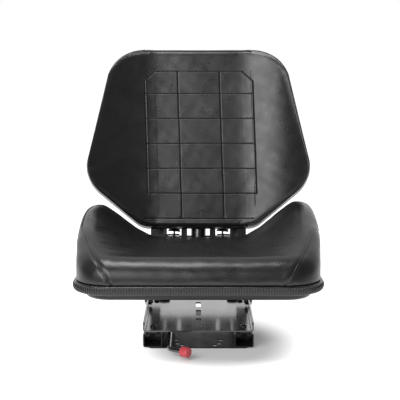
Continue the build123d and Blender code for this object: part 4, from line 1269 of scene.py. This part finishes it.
class TRACTORSEAT_OT_edge_trim(bpy.types.Operator):
    """Add the ribs along the seat's edge trim"""

    bl_idname = "tractorseat.edge_trim"
    bl_label = "Edge trim ribs"

    def execute(self, context):
        sizes, ribs = settings().cushion, settings().trim
        side, outward = pan_outline(sizes, RIB_PATH_STEP)
        plan = both_sides(side + outward * TRIM_PROUD)
        out = both_sides(outward)
        level = (TRIM_LOW.z + TRIM_HIGH.z) / 2
        path = np.column_stack([plan, np.full(len(plan), level)])
        outs = np.column_stack([out, np.zeros(len(out))])
        carrier = path_object("trim_path", path, outs, closed=True)
        made = grow(
            "seat_trim_ribs", bead_tree("trim_ribs"), carrier,
            pitch=ribs.rib_pitch, size=(ribs.rib_width, ribs.rib_height, 2 * ribs.rib_proud),
            material=finish("black_edging"),
        )
        dress(made, "black_edging", "seat")
        return {"FINISHED"}


def wind(name, tree, **sizes):
    """A coil of spring steel."""
    carrier = new_object(f"{name}_carrier", [(0.0, 0.0, 0.0)], [])
    return grow(name, tree, carrier, material=finish("spring_steel"), **sizes)


class TRACTORSEAT_OT_springs(bpy.types.Operator):
    """Wind the suspension springs and the lever's return spring"""

    bl_idname = "tractorseat.springs"
    bl_label = "Springs"

    def execute(self, context):
        sizes = settings().springs
        tree = coil_tree()
        ends = (sizes.coil_low, sizes.coil_high)
        for name, side in SIDES.items():
            foot, top = (on_column(side * sizes.across, sizes.setback, along)[0] for along in ends)
            made = wind(
                f"coil_spring_{name}", tree,
                turns=sizes.turns, radius=sizes.coil_radius, height=sizes.coil_high - sizes.coil_low,
                wire=sizes.wire_radius, loops=True, loop_radius=sizes.loop_radius,
                low_loop=(0.0, 0.0, sizes.loop_low - sizes.coil_low),
                high_loop=(0.0, 0.0, sizes.loop_high - sizes.coil_low),
                place=tuple(foot), lean=(-LEAN, 0.0, 0.0),
            )
            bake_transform(made)
            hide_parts(f"spring_{name}")
        low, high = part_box("lever_spring")
        centre = (low + high) / 2
        wire = sizes.lever_wire
        made = wind(
            "lever_return_spring", tree,
            turns=sizes.lever_turns, radius=(high.x - low.x) / 2 - wire, height=high.z - low.z - 2 * wire,
            wire=wire, loops=False, place=(centre.x, centre.y, low.z + wire),
        )
        dress(made, "spring_steel", "carriage", "lever_spring")
        return {"FINISHED"}


OTHER_FINISHES = {
    "suspension_tray": "tray_enamel",
    "seat_pan": "satin_enamel",
    "floor_plate": "satin_enamel",
    "lower_rail_left": "satin_enamel",
    "lower_rail_right": "satin_enamel",
    "upper_rail_left": "satin_enamel",
    "upper_rail_right": "satin_enamel",
}


class TRACTORSEAT_OT_finishes(bpy.types.Operator):
    """Give every solid piece its finish"""

    bl_idname = "tractorseat.finishes"
    bl_label = "Finishes"

    def execute(self, context):
        for subpart in frame["record"]["subparts"]:
            node = frame["nodes"][subpart["node"]]
            if node.hide_render:
                continue
            chosen = OTHER_FINISHES.get(subpart["node"], subpart["material_slot"])
            node.data.materials.clear()
            node.data.materials.append(finish(chosen))
        return {"FINISHED"}


WHITE = (1.0, 1.0, 1.0, 1.0)
# Each soft light's place, the place it looks at, and its width and height
KEY_LIGHT = ((-1.05, -2.15, 1.32), (0.0, 0.0, 0.25), (1.7, 1.1))
TOP_LIGHT = ((-0.35, -0.5, 2.1), (0.0, -0.1, 0.2), (1.1, 0.5))
# How far a mirrored ray points to the rear before it meets full white
BEHIND = (0.0, 0.45)
# Middle and half widths of the oval on the floor in which the object's shadow shows, and its soft border; outside
# it the floor's painted glow covers the shadow
SHADE_MIDDLE = (0.04, -0.14)
SHADE_REACH = (0.19, 0.26)
SHADE_BORDER = (0.45, 1.0)
FLOOR_LEVEL = -0.0004
FLOOR_ROUGHNESS = 0.9
SENSOR_WIDTH = 36.0


def soft_light(name, light_plan, power):
    place, target, size = light_plan
    light = bpy.data.lights.new(name, "AREA")
    light.shape = "RECTANGLE"
    light.size, light.size_y = size
    light.energy = power
    made = bpy.data.objects.new(name, light)
    made.location = place
    made.rotation_euler = (Vector(target) - Vector(place)).to_track_quat("-Z", "Y").to_euler()
    bpy.context.scene.collection.objects.link(made)


def combined(tree, operation, first, second):
    """Two values in one sum: their product, or the larger of them."""
    return add_node(tree, "ShaderNodeMath", {0: first, 1: second}, operation=operation).outputs[0]


def shown_rays(tree):
    """1 for rays that show the studio itself: from the camera, a mirror or glass."""
    rays = add_node(tree, "ShaderNodeLightPath").outputs
    first = combined(tree, "MAXIMUM", rays["Is Camera Ray"], rays["Is Glossy Ray"])
    return combined(tree, "MAXIMUM", first, rays["Is Transmission Ray"])


def ramped(tree, value, low, high, start=0.0):
    """A value that eases from its start, at the low end, to 1 at the high end."""
    ends = {"From Min": low, "From Max": high, "To Min": start, "To Max": 1.0}
    wires = {"Value": value, **ends}
    return add_node(tree, "ShaderNodeMapRange", wires, interpolation_type="SMOOTHSTEP").outputs["Result"]


def studio_world(stage):
    """White to the camera, white behind the seat to its mirror images, and dim all round."""
    world = bpy.data.worlds.new("studio")
    world.use_nodes = True
    tree = world.node_tree
    direction = add_node(tree, "ShaderNodeTexCoord").outputs["Generated"]
    axes = add_node(tree, "ShaderNodeSeparateXYZ", {"Vector": direction}).outputs
    mirrored = combined(tree, "MULTIPLY", shown_rays(tree), ramped(tree, axes["Y"], *BEHIND))
    seen = add_node(tree, "ShaderNodeLightPath").outputs["Is Camera Ray"]
    shown = combined(tree, "MAXIMUM", seen, mirrored)
    levels = {"Value": shown, "To Min": stage.fill, "To Max": 1.0}
    level = add_node(tree, "ShaderNodeMapRange", levels).outputs["Result"]
    connect(tree, tree.nodes["Background"], {"Color": WHITE, "Strength": level})
    bpy.context.scene.world = world


def studio_floor(stage):
    """A pale floor that shows the object's shadow inside an oval round the base; outside it the floor glows white
    to the camera and mirrors, painting light over the seat's shadow.
    """
    half = stage.floor_size / 2
    corners = [(-half, -half), (half, -half), (half, half), (-half, half)]
    floor = new_object("studio_floor", [(*corner, FLOOR_LEVEL) for corner in corners], [[0, 1, 2, 3]])
    paint = bpy.data.materials.new("studio_floor")
    paint.use_nodes = True
    tree = paint.node_tree
    place = add_node(tree, "ShaderNodeTexCoord").outputs["Object"]
    reach = [1 / half_width for half_width in SHADE_REACH]
    shift = [-middle * scale for middle, scale in zip(SHADE_MIDDLE, reach)]
    oval = {"Vector": place, "Location": (*shift, 0.0), "Scale": (*reach, 0.0)}
    ellipse = add_node(tree, "ShaderNodeMapping", oval).outputs["Vector"]
    away = add_node(tree, "ShaderNodeVectorMath", {0: ellipse}, operation="LENGTH").outputs["Value"]
    # Painted light: the glow is low near the base and rises to full white outside the oval, hiding the seat's
    # shadow there
    painted_floor_glow = ramped(tree, away, *SHADE_BORDER, stage.floor_glow)
    looks = {
        "Base Color": (*stage.floor_colour, 1.0),
        "Roughness": FLOOR_ROUGHNESS,
        "Specular IOR Level": 0.0,
        "Emission Color": WHITE,
        "Emission Strength": combined(tree, "MULTIPLY", shown_rays(tree), painted_floor_glow),
    }
    connect(tree, tree.nodes["Principled BSDF"], looks)
    floor.data.materials.append(paint)


class TRACTORSEAT_OT_stage(bpy.types.Operator):
    """Set up the pale studio floor, the soft lights and the camera"""

    bl_idname = "tractorseat.stage"
    bl_label = "Stage"

    def execute(self, context):
        stage = settings().stage
        scene = context.scene
        scene.view_settings.view_transform = "Standard"
        studio_world(stage)
        studio_floor(stage)
        soft_light("key_light", KEY_LIGHT, stage.key_power)
        soft_light("top_light", TOP_LIGHT, stage.top_power)
        camera = bpy.data.cameras.new("photo_camera")
        camera.lens = stage.camera_lens
        camera.sensor_width = SENSOR_WIDTH
        camera.shift_x = stage.camera_shift
        made = bpy.data.objects.new("photo_camera", camera)
        made.location = (0.0, stage.camera_y, stage.camera_z)
        made.rotation_euler = (math.pi / 2 - stage.camera_pitch, 0.0, 0.0)
        scene.collection.objects.link(made)
        scene.camera = made
        return {"FINISHED"}


OPERATORS = (
    TRACTORSEAT_OT_seat_cushion,
    TRACTORSEAT_OT_backrest_pad,
    TRACTORSEAT_OT_edge_trim,
    TRACTORSEAT_OT_springs,
    TRACTORSEAT_OT_finishes,
    TRACTORSEAT_OT_stage,
)


class TRACTORSEAT_PT_panel(bpy.types.Panel):
    """Lists the pieces and their settings"""

    bl_idname = "TRACTORSEAT_PT_panel"
    bl_label = "Tractor Seat"
    bl_space_type = "VIEW_3D"
    bl_region_type = "UI"
    bl_category = "Tractor Seat"

    def draw(self, context):
        for operator in OPERATORS:
            self.layout.operator(operator.bl_idname)
        for name, group in SETTINGS.items():
            box = self.layout.box()
            box.label(text=name.capitalize())
            for field in group.__annotations__:
                box.prop(getattr(context.scene.tractor_seat, name), field)


CLASSES = (*SETTINGS.values(), TractorSeatSettings, *OPERATORS, TRACTORSEAT_PT_panel)


def register():
    for item in CLASSES:
        bpy.utils.register_class(item)
    bpy.types.Scene.tractor_seat = bpy.props.PointerProperty(type=TractorSeatSettings)


def unregister():
    del bpy.types.Scene.tractor_seat
    for item in reversed(CLASSES):
        bpy.utils.unregister_class(item)


def main():
    register()
    bpy.ops.tractorseat.seat_cushion()
    bpy.ops.tractorseat.backrest_pad()
    bpy.ops.tractorseat.edge_trim()
    bpy.ops.tractorseat.springs()
    bpy.ops.tractorseat.finishes()
    bpy.ops.tractorseat.stage()


if __name__ == "__main__":
    main()
